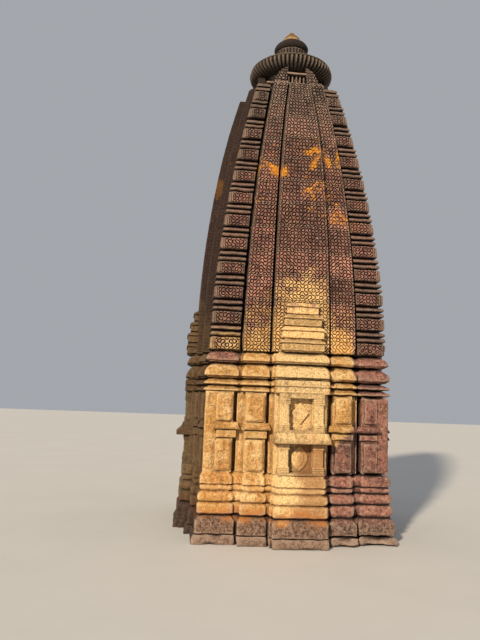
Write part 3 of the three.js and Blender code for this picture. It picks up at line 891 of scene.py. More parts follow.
def bay(stone, face, panel, block_span, eave_span):
    """Carving of one wall bay: two raised panels with a block course and a small eave between."""
    for low, high in (LOWER_PANEL, UPPER_PANEL):
        stone.slab(rounded(*panel, low, high, PANEL_ROUND), face - EMBED, face + PANEL_OUT,
                   bevel=0.014, step=0.020, crown=0.012)
    stone.slab(rectangle(*block_span, *MID_BLOCK), face - EMBED, face + BLOCK_OUT, bevel=0.008, step=0.020)
    section = [(face + out, MID_EAVE_FOOT + height) for out, height in SMALL_EAVE]
    bar(stone, eave_span, section, point=0.030, step=0.022)


PIERS = {
    "front_left": ((0, True), (3, False)),
    "front_right": ((0, False), (1, True)),
    "back_right": ((1, False), (2, True)),
    "back_left": ((2, False), (3, True)),
}
for turns, (name, faces) in enumerate(PIERS.items()):
    stone = Stone(turns)
    moulded(stone, WALL_PROFILE, corner_pier)
    for quarters, mirrored in faces:
        bay(stone.turn(quarters, mirrored), WALL_HALF, CORNER_PANEL, CORNER_BLOCK, CORNER_EAVE)
    stone.build(f"corner_pier_stones_{name}", [f"corner_pier_{name}"], "wall_stone", wall_stone)

for name, plan, quarters, halves in (
    ("front", front_wall, 0, (False, True)),
    ("right", side_wall, 1, (False, True)),
    ("left", side_wall, 3, (False, True)),
    ("back_left", door_wall, 2, (False,)),
    ("back_right", mirrored_plan(door_wall), 2, (True,)),
):
    stone = Stone(quarters)
    moulded(stone, WALL_PROFILE, plan)
    for mirrored in halves:
        bay(stone.turn(quarters, mirrored), WALL_HALF + SIDE_STEP, SIDE_PANEL, SIDE_BLOCK, SIDE_EAVE)
    stone.build(f"wall_stones_{name}", [f"wall_{name}"], "wall_stone", wall_stone)

# Niche frames

PILASTER_RING = ((0.0, -0.002), (0.004, 0.006), (0.012, 0.006), (0.016, -0.002))
PILASTER_PITCH = 0.022


def pilaster_rings(z0):
    """Three thin rings, one above the other."""
    levels = [z0 + i * PILASTER_PITCH for i in range(3)]
    return [(level + up, out) for level in levels for up, out in PILASTER_RING]


def pilaster_profile(z0, z1):
    return [(z0, 0.004), *pilaster_rings(z0 + 0.012), (z0 + 0.090, -0.008),
            (z1 - 0.090, -0.008), *pilaster_rings(z1 - 0.072), (z1, 0.004)]


def almond(x, z, half, rise, steps=8):
    """Pointed leaf outline."""
    shares = np.linspace(0, 1, steps + 1)
    up = [(x + half * math.sin(math.pi * s) ** 0.8, z - rise + 2 * rise * s) for s in shares]
    return np.array([*up, *[(2 * x - a, b) for a, b in reversed(up[1:-1])]])


BACKING = 0.02
PILASTERS = ((LOWER_NICHE[0] - 0.002, LOWER_NICHE[1] + 0.026), (1.380, UPPER_NICHE[1]))
UPPER_LEDGE = (1.345, 1.382)
LEDGE_REACH = 0.012
MID_EAVE_TUCK = 0.015
# Half width, half height and outset of two leaves, one on the other
LEAVES = ((0.105, 0.155, 0.028), (0.055, 0.090, 0.045))
DIAMOND_HALF = 0.11
DIAMOND_RISE = 0.14
DIAMOND_OUT = 0.038
CARVING_STEP = 0.02


def shelf(back, face, low, high):
    return [(back, low), (face, low), (face, high), (back, high)]


def niche_frame(quarters):
    """Two framed niches, one above the other, with a small eave between them."""
    stone = Stone(quarters)
    wall = CENTRE_WALL
    face = WALL_HALF + FACET_STEP
    for mirrored in (False, True):
        stone.turn(quarters, mirrored)
        for low, high in PILASTERS:
            post(stone, NICHE_HALF, FRAME_HALF, wall - BACKING, face, pilaster_profile(low, high))
    stone.turn(quarters)
    wall -= NICHE_DEPTH
    back = wall - BACKING
    ledge = FRAME_HALF + LEDGE_REACH
    bar(stone, (-ledge, ledge), shelf(back, face + 0.010, PLINTH_TOP, LOWER_NICHE[0]))
    bar(stone, (-FRAME_HALF, FRAME_HALF), shelf(back, face, UPPER_NICHE[1], WALL_TOP))
    bar(stone, (-FRAME_HALF, FRAME_HALF), shelf(back, face + 0.025, *UPPER_LEDGE))
    half = MID_EAVE_HALF - MID_EAVE_TUCK
    bar(stone, (-half, half), [
        (back, 1.222), (MID_EAVE_FACE - 0.01, 1.222), (MID_EAVE_FACE, 1.230), (MID_EAVE_FACE, 1.258),
        (MID_EAVE_FACE - 0.035, 1.290), (face + 0.035, 1.330), (face + 0.030, 1.347), (back, 1.347)],
        point=MID_EAVE_TUCK)
    lower, upper = (sum(niche) / 2 for niche in (LOWER_NICHE, UPPER_NICHE))
    diamond = np.array([(0, upper - DIAMOND_RISE), (DIAMOND_HALF, upper),
                        (0, upper + DIAMOND_RISE), (-DIAMOND_HALF, upper)])
    # Painted shade: the lower niche's back gets the lowest tone, darker as the shade in it
    stone.slab(rectangle(-NICHE_HALF, NICHE_HALF, *LOWER_NICHE), back, wall + 0.003, bevel=0.001, tone=0.0)
    stone.slab(diamond, back, wall + DIAMOND_OUT, bevel=0.008, step=CARVING_STEP)
    for half, rise, out in LEAVES:
        stone.slab(almond(0, lower, half, rise), back, wall + out, bevel=0.012, step=CARVING_STEP)
    return stone


for name, quarters in (("front", 0), ("right", 1), ("left", 3)):
    stone = niche_frame(quarters)
    stone.build(f"niche_{name}", [f"niche_frame_{name}"], "wall_stone", wall_stone, 0.002, 0.2)

# Doorway

JAMB_PROFILE = [(FOOTING_TOP, -0.001), (0.30, -0.001), (0.31, -0.006), (DOOR_TOP, -0.006)]
JAMB_BANDS = (0.0, 0.022, 0.010)

for name, mirrored in (("left", False), ("right", True)):
    stone = Stone(2, mirrored)
    width = (SIDE_INNER - DOOR_HALF) / len(JAMB_BANDS)
    for i, back_by in enumerate(JAMB_BANDS):
        x0 = DOOR_HALF + i * width
        post(stone, x0, x0 + width, CHAMBER_HALF, JAMB_FACE - back_by, JAMB_PROFILE, step=0.05)
    stone.build(f"door_jamb_stones_{name}", [f"door_jamb_{name}"], "wall_stone", wall_stone)

LINTEL_SECTION = [
    (CHAMBER_HALF, DOOR_TOP), (JAMB_FACE - 0.014, DOOR_TOP), (JAMB_FACE - 0.014, DOOR_TOP + 0.04),
    (JAMB_FACE, DOOR_TOP + 0.045), (JAMB_FACE, DOOR_TOP + 0.085), (JAMB_FACE - 0.02, DOOR_TOP + 0.09),
    (JAMB_FACE - 0.02, WALL_TOP), (CHAMBER_HALF, WALL_TOP)]
THRESHOLD_SECTION = [
    (CHAMBER_HALF, FOOTING_TOP), (JAMB_FACE, FOOTING_TOP), (JAMB_FACE, DOOR_SILL - 0.02),
    (JAMB_FACE - 0.02, DOOR_SILL), (CHAMBER_HALF, DOOR_SILL)]

stone = Stone(2)
bar(stone, (-SIDE_INNER, SIDE_INNER), LINTEL_SECTION)
stone.slab(almond(0, DOOR_TOP + 0.062, 0.06, 0.055), JAMB_FACE - EMBED, JAMB_FACE + 0.012,
           bevel=0.01, step=CARVING_STEP)
stone.build("door_lintel_stone", ["door_lintel"], "wall_stone", wall_stone)

stone = Stone(2)
bar(stone, (-DOOR_HALF, DOOR_HALF), THRESHOLD_SECTION)
stone.build("door_threshold_stone", ["door_threshold"], "plinth_stone", plinth_stone)

# Eaves and cornices

CORNICE_HIP = 0.6
CORNICE_REACH = 0.050
FASCIA_HALF = 0.345
FASCIA_FACE = WALL_HALF + FACET_STEP + 0.010
FASCIAS = {"eave_lower": (WALL_TOP, LOWER_EAVE_TOP - 0.004),
           "eave_upper": (LOWER_EAVE_TOP, UPPER_EAVE_TOP - 0.006)}
COURSES = {
    "eave_lower": [(WALL_TOP, -0.060), (1.830, -0.060), *eave(1.832, 1.892, 0.014, -0.050, 0.35, 1.0),
                   (1.894, -0.090), (LOWER_EAVE_TOP, -0.090)],
    "eave_upper": [(LOWER_EAVE_TOP, -0.090), *eave(1.912, 1.976, 0.010, -0.056, 0.35, 1.0),
                   (1.978, -0.100), (UPPER_EAVE_TOP, -0.100)],
    "cornice_lower": [(UPPER_EAVE_TOP, -0.100), *block(1.999, 2.014, -0.030, 0.004),
                      *eave(2.018, 2.168, 0.010, -0.070, 0.25, 1.5), (2.170, -0.110),
                      (LOWER_CORNICE_TOP, -0.110)],
    "cornice_upper": [(LOWER_CORNICE_TOP, -0.110), *block(2.197, 2.210, -0.036, 0.004),
                      *eave(2.214, 2.320, -0.002, -0.064, 0.25, 1.5), (2.322, -0.105),
                      (SPIRE_BASE, -0.105)],
}
COURSE_STEP = 0.036
for name, profile in COURSES.items():
    stone = Stone()
    plan = partial(whole_plan, reach=CORNICE_REACH, hip=CORNICE_HIP)
    moulded(stone, profile, plan, COURSE_STEP, bevel=0.012)
    if name in FASCIAS:
        low, high = FASCIAS[name]
        section = [(WALL_HALF, low), (FASCIA_FACE - 0.006, low), (FASCIA_FACE + 0.004, low + 0.030),
                   (FASCIA_FACE, high), (WALL_HALF, high)]
        for quarters in range(4):
            bar(stone.turn(quarters), (-FASCIA_HALF, FASCIA_HALF), section)
    stone.build(f"moulded_{name}", [name], "wall_stone", cornice_stone if "cornice" in name else wall_stone)

# Carved lattice: a mesh of curving grooves on a grid of cells

CELL = 0.049
GROOVE = 0.39
GROOVE_DEPTH = 0.018
ARC_PARTS = 2
BROKEN = 0.42


def lattice_cell():
    """(u, v) points, depths and triangles of a cell with two grooves, each a quarter circle."""
    points, depths, edges = [(0, 0), (1, 0), (1, 1), (0, 1)], [0.0] * 4, []
    for place, start in ((0, 0), (1, 180)):
        for radius, depth in ((0.5 - GROOVE / 2, 0.0), (0.5, 1.0), (0.5 + GROOVE / 2, 0.0)):
            first = len(points)
            for angle in np.radians(np.linspace(start, start + 90, ARC_PARTS + 1)):
                points.append((place + radius * math.cos(angle), place + radius * math.sin(angle)))
                depths.append(depth)
            edges += [(first + i, first + i + 1) for i in range(ARC_PARTS)]
    flat, names, faces = triangulated(points, edges, within=False)
    return np.clip(flat, 0, 1), np.array(depths)[names], faces


CELL_FLAT, CELL_DEPTH, CELL_FACES = lattice_cell()


def lattice_turns(rows, columns):
    """Which cells are mirrored: mostly every other one, which makes rings, alike left and right."""
    half = (columns + 1) // 2
    pattern = (np.indices((rows, half)).sum(0) + random.integers(2)) % 2 == 0
    pattern ^= random.random((rows, half)) < BROKEN
    turned = np.zeros((rows, columns), bool)
    turned[:, :half] = pattern
    turned[:, columns - half:] = ~pattern[:, ::-1]
    return turned


def between(corners, u, v):
    """Points at shares u and v of the way across four corners, anticlockwise."""
    a, b, c, d = corners
    return a * (1 - u) * (1 - v) + b * u * (1 - v) + c * u * v + d * (1 - u) * v


def carve(stone, grid, inward, tone=0.5):
    """Covers a grid of points with lattice cells whose grooves are sunk along inward."""
    rows, columns = grid.shape[0] - 1, grid.shape[1] - 1
    cells = np.stack([grid[:-1, :-1], grid[:-1, 1:], grid[1:, 1:], grid[1:, :-1]], 2).reshape(-1, 4, 3)
    turned = lattice_turns(rows, columns).ravel()
    for chosen, flat, faces in ((~turned, CELL_FLAT, CELL_FACES),
                                (turned, CELL_FLAT * (-1, 1) + (1, 0), CELL_FACES[:, ::-1])):
        corners = [cells[chosen][:, i, None, :] for i in range(4)]
        points = between(corners, flat[None, :, :1], flat[None, :, 1:]) + CELL_DEPTH[None, :, None] * inward
        offsets = np.arange(len(points))[:, None, None] * len(flat)
        stone.add(points, (faces[None] + offsets).reshape(-1, 3), np.tile(CELL_DEPTH, len(points)), tone)


def lattice_border(grid):
    """Points round a grid, with those where grooves cross its edge, and their depths."""
    ring = np.concatenate([grid[0, :-1], grid[:-1, -1], grid[-1, :0:-1], grid[:0:-1, 0]])
    along = np.roll(ring, -1, 0) - ring
    shares = (0.0, 0.5 - GROOVE / 2, 0.5, 0.5 + GROOVE / 2)
    points = np.stack([ring + along * share for share in shares], 1).reshape(-1, 3)
    return points, np.tile((0.0, 0.0, 1.0, 0.0), len(ring))[:, None]


def plate(stone, face, thick, columns, rows, tone):
    """Thin block with a lattice on its face, which four corners give, anticlockwise."""
    normal = np.cross(face[1] - face[0], face[3] - face[0])
    inward = -normal / np.linalg.norm(normal)
    u, v = np.linspace(0, 1, columns + 1), np.linspace(0, 1, rows + 1)
    grid = between(face, u[None, :, None], v[:, None, None])
    edge, groove = lattice_border(grid)
    across = np.column_stack([(edge - face[0]) @ (face[1] - face[0]), edge[:, 2]])
    rear = edge + thick * inward
    stone.loft([rear, edge + GROOVE_DEPTH * groove * inward], tone=tone, caps=False)
    stone.add(rear, outline_triangles(across)[:, ::-1], 0.0, tone)
    carve(stone, grid, GROOVE_DEPTH * inward, tone)


# Spire: half widths, edges of its bands and distances out of their faces, at a height

def drawn_in(z, taper, power):
    """Share of its base that a width still has at a height."""
    return 1 - taper * max((z - SPIRE_BASE) / (CORNER_TOP - SPIRE_BASE), 0) ** power


def spire_half(z):
    return SPIRE_HALF * drawn_in(z, SPIRE_TAPER, SPIRE_POWER)


def centre_face(z):
    return SPIRE_CENTRE * drawn_in(z, CENTRE_TAPER, CENTRE_POWER)


def side_face(z):
    return spire_half(z) + SIDE_SHARE * (centre_face(z) - spire_half(z))


def centre_half(z):
    return SPIRE_CENTRE_HALF * spire_half(z) * drawn_in(z, TOP_NARROWING, NARROWING_POWER)


def side_inner(z):
    return SPIRE_SIDE_INNER * spire_half(z) * drawn_in(z, INNER_NARROWING, NARROWING_POWER)


def side_outer(z):
    return SPIRE_SIDE_OUTER * spire_half(z) * drawn_in(z, OUTER_NARROWING, NARROWING_POWER)


def corner_inner(z):
    return SPIRE_CORNER_INNER * spire_half(z)


def storey_level(storey):
    return SPIRE_BASE + storey * STOREY_HEIGHT


def band_line(z):
    """Line between the corner bands and what they flank, straight within each storey."""
    storey = min(int((z - SPIRE_BASE) / STOREY_HEIGHT), STOREYS - 1)
    low, high = storey_level(storey), storey_level(storey + 1)
    at_low, at_high = ((corner_inner(level) + side_outer(level)) / 2 for level in (low, high))
    return at_low + (at_high - at_low) * (z - low) / STOREY_HEIGHT


JOINT = 0.005
COURSE_ROWS = 7
UPPER_ROWS = 6
UPPER_STOREY = 5
SLOT_EASE = 0.0005
FLANK_ROWS = 7
FLANK_THICK = 0.022
FLANK_OUT = 0.004
HORN_ROWS = 8
HORN_COLUMNS = 3


def centre_edges(z):
    """Left and right x of the centre band and how far out its face is."""
    return -centre_half(z), centre_half(z), centre_face(z)


def side_edges(z):
    return side_inner(z), side_outer(z), side_face(z)


def horn_edges(z):
    """The same of the fin that a side band ends in: a rounded shoulder, then an upright blade."""
    share = (z - HORN_BASE) / (HORN_TIP - HORN_BASE)
    bow = math.sqrt(1 - (HORN_SWEEP * share) ** 2)
    lean = math.sqrt(1 - min(share / HORN_SHOULDER, 1.0) ** 2)
    inner = side_inner(HORN_BASE) + (HORN_TIP_X - side_inner(HORN_BASE)) * share
    outer = inner + (side_outer(HORN_BASE) - side_inner(HORN_BASE)) * bow
    return inner, outer, HORN_TIP_FACE + (side_face(HORN_BASE) - HORN_TIP_FACE) * lean


def face_grid(low, high, rows, columns, edges):
    """Corner points of the lattice cells on a stretch of a band."""
    grid = np.zeros((rows + 1, columns + 1, 3))
    for row, z in zip(grid, np.linspace(low + JOINT, high - JOINT, rows + 1)):
        left, right, face = edges(z)
        row[:, 0] = np.linspace(left + JOINT, right - JOINT, columns + 1)
        row[:, 1:] = -face, z
    return grid


def course_grid(storey, edges, top=CORNER_TOP):
    """Corner points of the lattice cells on a band in one storey."""
    low, high = storey_level(storey), min(storey_level(storey + 1), top)
    left, right, _ = edges(low)
    rows = COURSE_ROWS if storey < UPPER_STOREY else UPPER_ROWS
    return face_grid(low, high, rows, max(2, round((right - left) / CELL)), edges)


def carved_course(stone, grid, back, tone):
    """One course of a carved band: a closed block whose face is a grid of lattice cells."""
    edge, groove = lattice_border(grid)
    border = edge + (0, GROOVE_DEPTH, 0) * groove
    sides = edge.copy()
    sides[:, [0, 2]] = inset(edge[:, [0, 2]], -JOINT)
    sides[:, 1] += 2 * JOINT + GROOVE_DEPTH * groove[:, 0]
    rear = sides.copy()
    rear[:, 1] = [-back(z) for z in rear[:, 2]]
    depths = np.repeat([1.0, 0.6, 0.0], len(border))
    stone.loft([rear, sides, border], tone=tone, depth=depths, plane=(0, 2), caps=False)
    stone.add(rear, outline_triangles(rear[:, [0, 2]])[:, ::-1], 1.0, tone)
    carve(stone, grid, np.array((0, GROOVE_DEPTH, 0)), tone)


def carved_flank(stone, storey, top, edge, face, behind):
    """Lattice on the flank of a band, at x = edge(z), from behind(z) out to its face."""
    low, high = storey_level(storey) + JOINT, min(storey_level(storey + 1), top) - JOINT
    corners = [(edge(z), -out, z) for z, out in (
        (low, face(low) - 2 * JOINT), (low, behind(low)),
        (high, behind(high)), (high, face(high) - 2 * JOINT))]
    # Painted shade: the flank plates get a low tone, as if in shade
    plate(stone, np.array(corners) + (FLANK_OUT, 0, 0), FLANK_THICK, 2, FLANK_ROWS, FLANK_SHADE_TONE)


def slot_filling(stone, storey):
    """Stone at the bottom of the slots between the bands, from which they stand out."""
    rings = []
    for z in np.linspace(storey_level(storey), storey_level(storey + 1), 5):
        half, back = band_line(z) - SLOT_EASE, band_line(z) - 2 * SLOT_EASE
        front = side_face(z) - SPIRE_SLOT_DEPTH
        rings.append([(-half, -front, z), (half, -front, z), (half, -back, z), (-half, -back, z)])
    # Painted shade: the slot bottoms get a low tone and full depth, so they read dark
    stone.loft(rings, tone=SLOT_SHADE_TONE, depth=1.0)


SIDES = ("front", "right", "back", "left")
COURSE_TONES = (0.15, 0.85)
# Low tones that paint shade on the bands' flanks and on the slot bottoms
FLANK_SHADE_TONE = 0.1
SLOT_SHADE_TONE = 0.2
HORN_TONE = 0.6
GRILLE_TONE = 0.3
HORN_GAP = 0.145
GRILLE_BACK = VEDI_HALF - 0.02
GRILLE_FACE = 0.535
GRILLE_SILL = 6.446
GRILLE_HEAD = 6.584
GRILLE_PROFILE = [
    (6.300, 0.0), (6.400, 0.0), (6.404, 0.012), (6.440, 0.012), (GRILLE_SILL, -0.075), (6.500, -0.075),
    (6.560, -0.075), (GRILLE_HEAD, -0.075), (6.588, 0.0), (6.612, 0.0)]
BARS = 5
BAR_HALF = 0.012
BAR_BACK_BY = 0.045

for quarters, name in enumerate(SIDES):
    stone = Stone(quarters)
    for storey in range(STOREYS):
        grid = course_grid(storey, centre_edges, CENTRE_TOP)
        carved_course(stone, grid, band_line, random.uniform(*COURSE_TONES))
        grid = course_grid(storey, side_edges)
        for mirrored in (False, True):
            stone.turn(quarters, mirrored)
            carved_course(stone, grid, band_line, random.uniform(*COURSE_TONES))
            carved_flank(stone, storey, CORNER_TOP, side_outer, side_face, spire_half)
            carved_flank(stone, storey, CENTRE_TOP, centre_half, centre_face, side_face)
        slot_filling(stone.turn(quarters), storey)
    grid = face_grid(HORN_BASE, HORN_TIP, HORN_ROWS, HORN_COLUMNS, horn_edges)
    for mirrored in (False, True):
        carved_course(stone.turn(quarters, mirrored), grid, lambda z: VEDI_HALF, HORN_TONE)
    stone.turn(quarters)
    post(stone, -HORN_GAP, HORN_GAP, GRILLE_BACK, GRILLE_FACE, GRILLE_PROFILE, GRILLE_TONE)
    for i in range(BARS):
        x = HORN_GAP * (2 * (i + 0.5) / BARS - 1)
        post(stone, x - BAR_HALF, x + BAR_HALF, GRILLE_BACK, GRILLE_FACE - BAR_BACK_BY,
             [(GRILLE_SILL, 0.0), (GRILLE_HEAD, 0.0)], 0.0)
    stone.build(f"carved_spire_{name}", [f"spire_face_{name}"], "spire_stone", spire_stone, 0.0025, 0.06)

# Corner bands: a carved block, then two thin mouldings, in each storey

INNER_SHARE = 0.3
DEEPEST_INNER = -0.05
BLOCK_INNER = -0.012


def corner_ring(out, z):
    """Plan of a corner band; its mouldings reach a little further towards the bays than its gaps."""
    outer = spire_half(z) + out
    edge = corner_inner(z) - INNER_SHARE * (max(out, DEEPEST_INNER) - BLOCK_INNER)
    inner = band_line(z)
    slot = spire_half(z) - SPIRE_SLOT_DEPTH
    return [(-outer, -outer), (-edge, -outer), (-edge, -slot), (-inner, -slot),
            (-inner, -inner), (-slot, -inner), (-slot, -edge), (-outer, -edge)]


BLOCK_FOOT = 0.014
BLOCK_TOP = BLOCK_SHARE * STOREY_HEIGHT
CORNER_GAP = -0.085
CAP_GAP = -0.050
CORNER_BLOCK_PROFILE = [
    (0.0, CORNER_GAP), (0.012, CORNER_GAP), *block(BLOCK_FOOT, BLOCK_TOP, -0.014, 0.006),
    (BLOCK_TOP + 0.002, CORNER_GAP)]
CORNER_PROFILE = [
    *CORNER_BLOCK_PROFILE, (0.184, CORNER_GAP), *roll(0.186, 0.244, -0.040, 0.004, 5),
    (0.246, CORNER_GAP), (0.256, CORNER_GAP), *roll(0.258, 0.318, -0.042, 0.002, 5), (0.320, CORNER_GAP)]
CORNER_CAP_PROFILE = [
    *CORNER_BLOCK_PROFILE, (0.184, CAP_GAP), *roll(0.186, 0.240, -0.030, 0.006, 4), (0.244, -0.060),
    *roll(0.256, 0.318, -0.040, 0.0, 4), (0.322, CAP_GAP)]
CORNER_STEP = 0.045
CORNER_TONES = (0.0, 0.5)
PLATE_LIGHTER = 0.45
RIB_LIGHTER = 0.2
PLATE_FRAME = 0.010
PLATE_OUT = 0.004
PLATE_START = 0.020
PLATE_END = 0.062
PLATE_CELL = 0.048
PLATE_ROWS = 3
RIB_PLACES = (0.044, 0.020)
RIB_HALF = 0.008
FACE_THICK = 0.03

# How far the upper storeys of the corner bands are raised above an even spacing
UPPER_SHIFTS = {8: 0.008, 9: 0.019, 10: 0.036, 11: 0.014}


def sloping(x0, x1, low, high):
    """Corners of a patch of the corner band's face, as seen on the right of the front."""
    return np.array([(x, -spire_half(z), z) for x, z in ((x0, low), (x1, low), (x1, high), (x0, high))])


def corner_block_face(stone, z0, tone):
    """Carved plate and two ribs on the block's face, in the front's frame on the right."""
    low, high = z0 + BLOCK_FOOT + PLATE_FRAME, z0 + BLOCK_TOP - PLATE_FRAME
    inner, outer = corner_inner(z0) + PLATE_START, spire_half(high) - PLATE_END
    columns = max(2, round((outer - inner) / PLATE_CELL))
    face = sloping(inner, outer, low, high) - (0, PLATE_OUT, 0)
    plate(stone, face, FACE_THICK, columns, PLATE_ROWS, tone + PLATE_LIGHTER)
    for place in RIB_PLACES:
        x = spire_half(high) - place
        face = sloping(x - RIB_HALF, x + RIB_HALF, low, high)
        stone.loft([face + (0, FACE_THICK, 0), face], tone=tone + RIB_LIGHTER, plane=(0, 2))


for turns, (name, faces) in enumerate(PIERS.items()):
    stone = Stone()
    for storey in range(STOREYS):
        shift, next_shift = (UPPER_SHIFTS.get(level, 0.0) for level in (storey, storey + 1))
        z0 = storey_level(storey) + shift
        tone = random.uniform(*CORNER_TONES)
        profile, gap = (CORNER_PROFILE, CORNER_GAP) if storey < STOREYS - 1 else (CORNER_CAP_PROFILE, CAP_GAP)
        profile = [*profile, (STOREY_HEIGHT + next_shift - shift, gap)]
        moulded(stone.turn(turns), profile, corner_ring, CORNER_STEP, tone, z0)
        for quarters, mirrored in faces:
            corner_block_face(stone.turn(quarters, mirrored), z0, tone)
    stone.build(f"corner_band_{name}", [f"spire_corner_{name}"], "spire_stone", band_stone, 0.006, 0.15)

# Miniature shrine at the foot of each centre band: tiers of a half width and a distance out

FOOT_SHRINE_TIER = 0.158
FOOT_SHRINE_TIERS = ((0.278, 1.430), (0.272, 1.428), (0.245, 1.395), (0.212, 1.350))
FOOT_SHRINE_TONES = (0.3, 0.8)
FOOT_SHRINE_PROFILE = [
    (0.0, -0.040), (0.012, -0.040), *block(0.014, 0.096, -0.010, 0.006), (0.100, -0.026),
    *eave(0.104, 0.146, 0.004, -0.020, 0.4, 1.2), (0.148, -0.040), (FOOT_SHRINE_TIER, -0.040)]

for quarters, name in enumerate(SIDES):
    stone = Stone(quarters)
    for tier, (half, face) in enumerate(FOOT_SHRINE_TIERS):
        low = SPIRE_BASE + tier * FOOT_SHRINE_TIER
        profile = [(low + height, out) for height, out in FOOT_SHRINE_PROFILE]
        tone = random.uniform(*FOOT_SHRINE_TONES)
        post(stone, -half, half, centre_face(low) - BACKING, face, profile, tone)
    stone.build(f"foot_shrine_stones_{name}", [f"foot_shrine_{name}"], "wall_stone", shrine_stone, 0.004, 0.2)

# Crown: turned forms through (radius, height) points, or (radius, height, groove depth) if ribbed

VEDI_PROFILE = [
    (CORNER_TOP, -0.01), *block(CORNER_TOP + 0.004, 6.40, 0.0, 0.008), (6.404, -0.04), (6.46, -0.04),
    *block(6.464, VEDI_TOP, -0.002, 0.008)]
NECK = [
    (0.430, VEDI_TOP), (0.436, 6.516), (0.420, 6.536), (0.400, 6.552), (0.396, 6.640), (0.418, 6.660),
    (0.430, 6.672), (0.424, 6.690), (0.420, NECK_TOP)]
AMALAKA = [
    (0.440, 6.700, 0.010), (0.500, 6.706, 0.030), (0.560, 6.722, 0.045), (0.606, 6.746, 0.050),
    (0.636, 6.778, 0.050), (0.650, 6.812, 0.048), (0.646, 6.838, 0.040), (0.636, 6.852, 0.030),
    (0.630, 6.856, 0.004), (0.634, 6.864, 0.0), (0.630, 6.876, 0.0), (0.600, 6.892, 0.0),
    (0.520, 6.915, 0.0), (0.330, 6.930, 0.0)]
PETAL_RING = [
    (0.330, 6.930, 0.0), (0.310, 6.960, 0.010), (0.268, 7.020, 0.022), (0.246, 7.080, 0.026),
    (0.238, 7.140, 0.026), (0.240, 7.195, 0.022), (0.248, 7.212, 0.006), (0.240, 7.222, 0.0),
    (0.215, 7.230, 0.0)]
CAP = [
    (0.200, 7.230), (0.236, 7.244), (0.258, 7.266), (0.268, 7.296), (0.266, 7.320), (0.250, 7.350),
    (0.220, 7.376), (0.180, 7.396), (0.130, 7.410)]
FINIAL = [
    (0.140, 7.410), (0.154, 7.426), (0.152, 7.450), (0.136, 7.484), (0.108, 7.518), (0.078, 7.546),
    (0.052, 7.566), (0.038, 7.576), (0.042, 7.586), (0.040, 7.600), (0.026, 7.613), (0.010, 7.620)]
PETALS = 28
RIB_PARTS = 8
DARK_GROOVES = 25


def turned_stone(profile, count, ribs, tone):
    """Stone turned in so many parts; a ribbed one's depth is 1 at the bottom of its grooves."""
    angles = np.arange(count) * 2 * math.pi / count
    furrow = 1 - np.abs(np.sin(angles * ribs / 2))
    rings, depths = [], []
    for radius, z, *rest in profile:
        sink = sum(rest)
        r = radius - sink * furrow
        rings.append(np.column_stack([r * np.cos(angles), r * np.sin(angles), np.full(count, z)]))
        depths.append(furrow ** 2 * min(1.0, DARK_GROOVES * sink))
    stone = Stone()
    stone.loft(rings, tone=tone, depth=np.concatenate(depths))
    return stone


stone = Stone()
moulded(stone, VEDI_PROFILE, lambda out, z: square(VEDI_HALF + out))
stone.build("crown_slab_stone", ["crown_slab"], "spire_stone", spire_stone)

for name, node, slot, material, profile, count, ribs, tone, rough, wear in (
    ("neck_stone", "neck", "crown_stone", crown_stone, NECK, 144, 0, 0.4, ROUGHNESS, WEAR),
    ("ribbed_amalaka", "amalaka", "crown_stone", crown_stone, AMALAKA, AMALAKA_RIBS * RIB_PARTS,
     AMALAKA_RIBS, 0.5, 0.003, 0.1),
    ("petal_ring_stone", "petal_ring", "crown_stone", crown_stone, PETAL_RING, PETALS * RIB_PARTS,
     PETALS, 0.9, 0.002, 0.1),
    ("cap_disc_stone", "cap_disc", "crown_stone", cap_stone, CAP, 96, 0, 0.0, 0.006, WEAR),
    ("finial_bud", "finial", "finial_stone", finial_stone, FINIAL, 64, 0, 0.3, 0.004, WEAR),
):
    turned_stone(profile, count, ribs, tone).build(name, [node], slot, material, rough, wear)

# CAD solids that no stone stands for
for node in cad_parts.values():
    if not node.hide_render:
        node.data.materials.clear()
        node.data.materials.append(spire_stone)


# Floor, light and camera

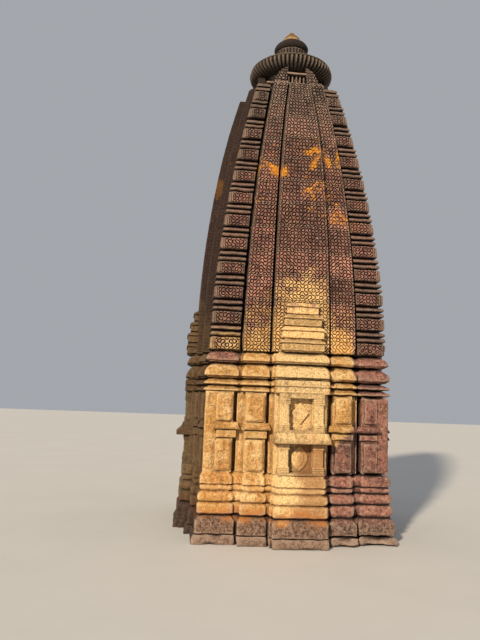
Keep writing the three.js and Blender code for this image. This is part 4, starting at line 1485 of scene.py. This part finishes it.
def plain_material(name, colour):
    material = bpy.data.materials.new(name)
    material.use_nodes = True
    g = Graph(material.node_tree)
    shader = material.node_tree.nodes["Principled BSDF"]
    place = g.node("ShaderNodeTexCoord", output="Object")
    darker = (*(0.96 * c for c in colour[:3]), 1)
    tint = g.mix(g.noise(place, 0.8).span(0.3, 0.7), colour, darker)
    material.node_tree.links.new(tint.socket, shader.inputs["Base Color"])
    shader.inputs["Roughness"].default_value = 0.9
    return material


FLOOR_HALF = 60.0
FLOOR_COLOUR = (0.62, 0.60, 0.57, 1)
SKY_COLOUR = (0.80, 0.84, 0.90, 1)
SKY_STRENGTH = 0.46
SUN_DIRECTION = (-0.48, -0.78, 0.41)
SUN_ANGLE = math.radians(4)
SUN_STRENGTH = 4.8
SUN_COLOUR = (1.0, 0.86, 0.66)

floor_mesh = bpy.data.meshes.new("floor")
floor_mesh.from_pydata([(x, y, 0) for x, y in square(FLOOR_HALF)], [], [(0, 1, 2, 3)])
floor_mesh.materials.append(plain_material("pale_floor", FLOOR_COLOUR))
floor = bpy.data.objects.new("floor", floor_mesh)
scene.collection.objects.link(floor)

world = bpy.data.worlds.new("studio")
world.use_nodes = True
background = world.node_tree.nodes["Background"]
background.inputs["Color"].default_value = SKY_COLOUR
background.inputs["Strength"].default_value = SKY_STRENGTH
scene.world = world

key = bpy.data.lights.new("key", "SUN")
key.energy = SUN_STRENGTH
key.angle = SUN_ANGLE
key.color = SUN_COLOUR
key_object = bpy.data.objects.new("key", key)
key_object.rotation_euler = Vector(SUN_DIRECTION).to_track_quat("Z", "Y").to_euler()
scene.collection.objects.link(key_object)

camera_data = bpy.data.cameras.new("camera")
camera_data.sensor_width = SENSOR
camera_data.lens = FOCAL_PIXELS / LONG_SIDE_PIXELS * SENSOR
camera_data.clip_end = 200
camera = bpy.data.objects.new("camera", camera_data)
camera.matrix_world = (
    Matrix.Translation(CAMERA_PLACE)
    @ Matrix.Rotation(-CAMERA_YAW, 4, "Z")
    @ Matrix.Rotation(math.pi / 2 + CAMERA_PITCH, 4, "X")
    @ Matrix.Rotation(CAMERA_ROLL, 4, "Z"))
scene.collection.objects.link(camera)
bpy.context.scene.camera = camera
scene.view_settings.view_transform = "Standard"
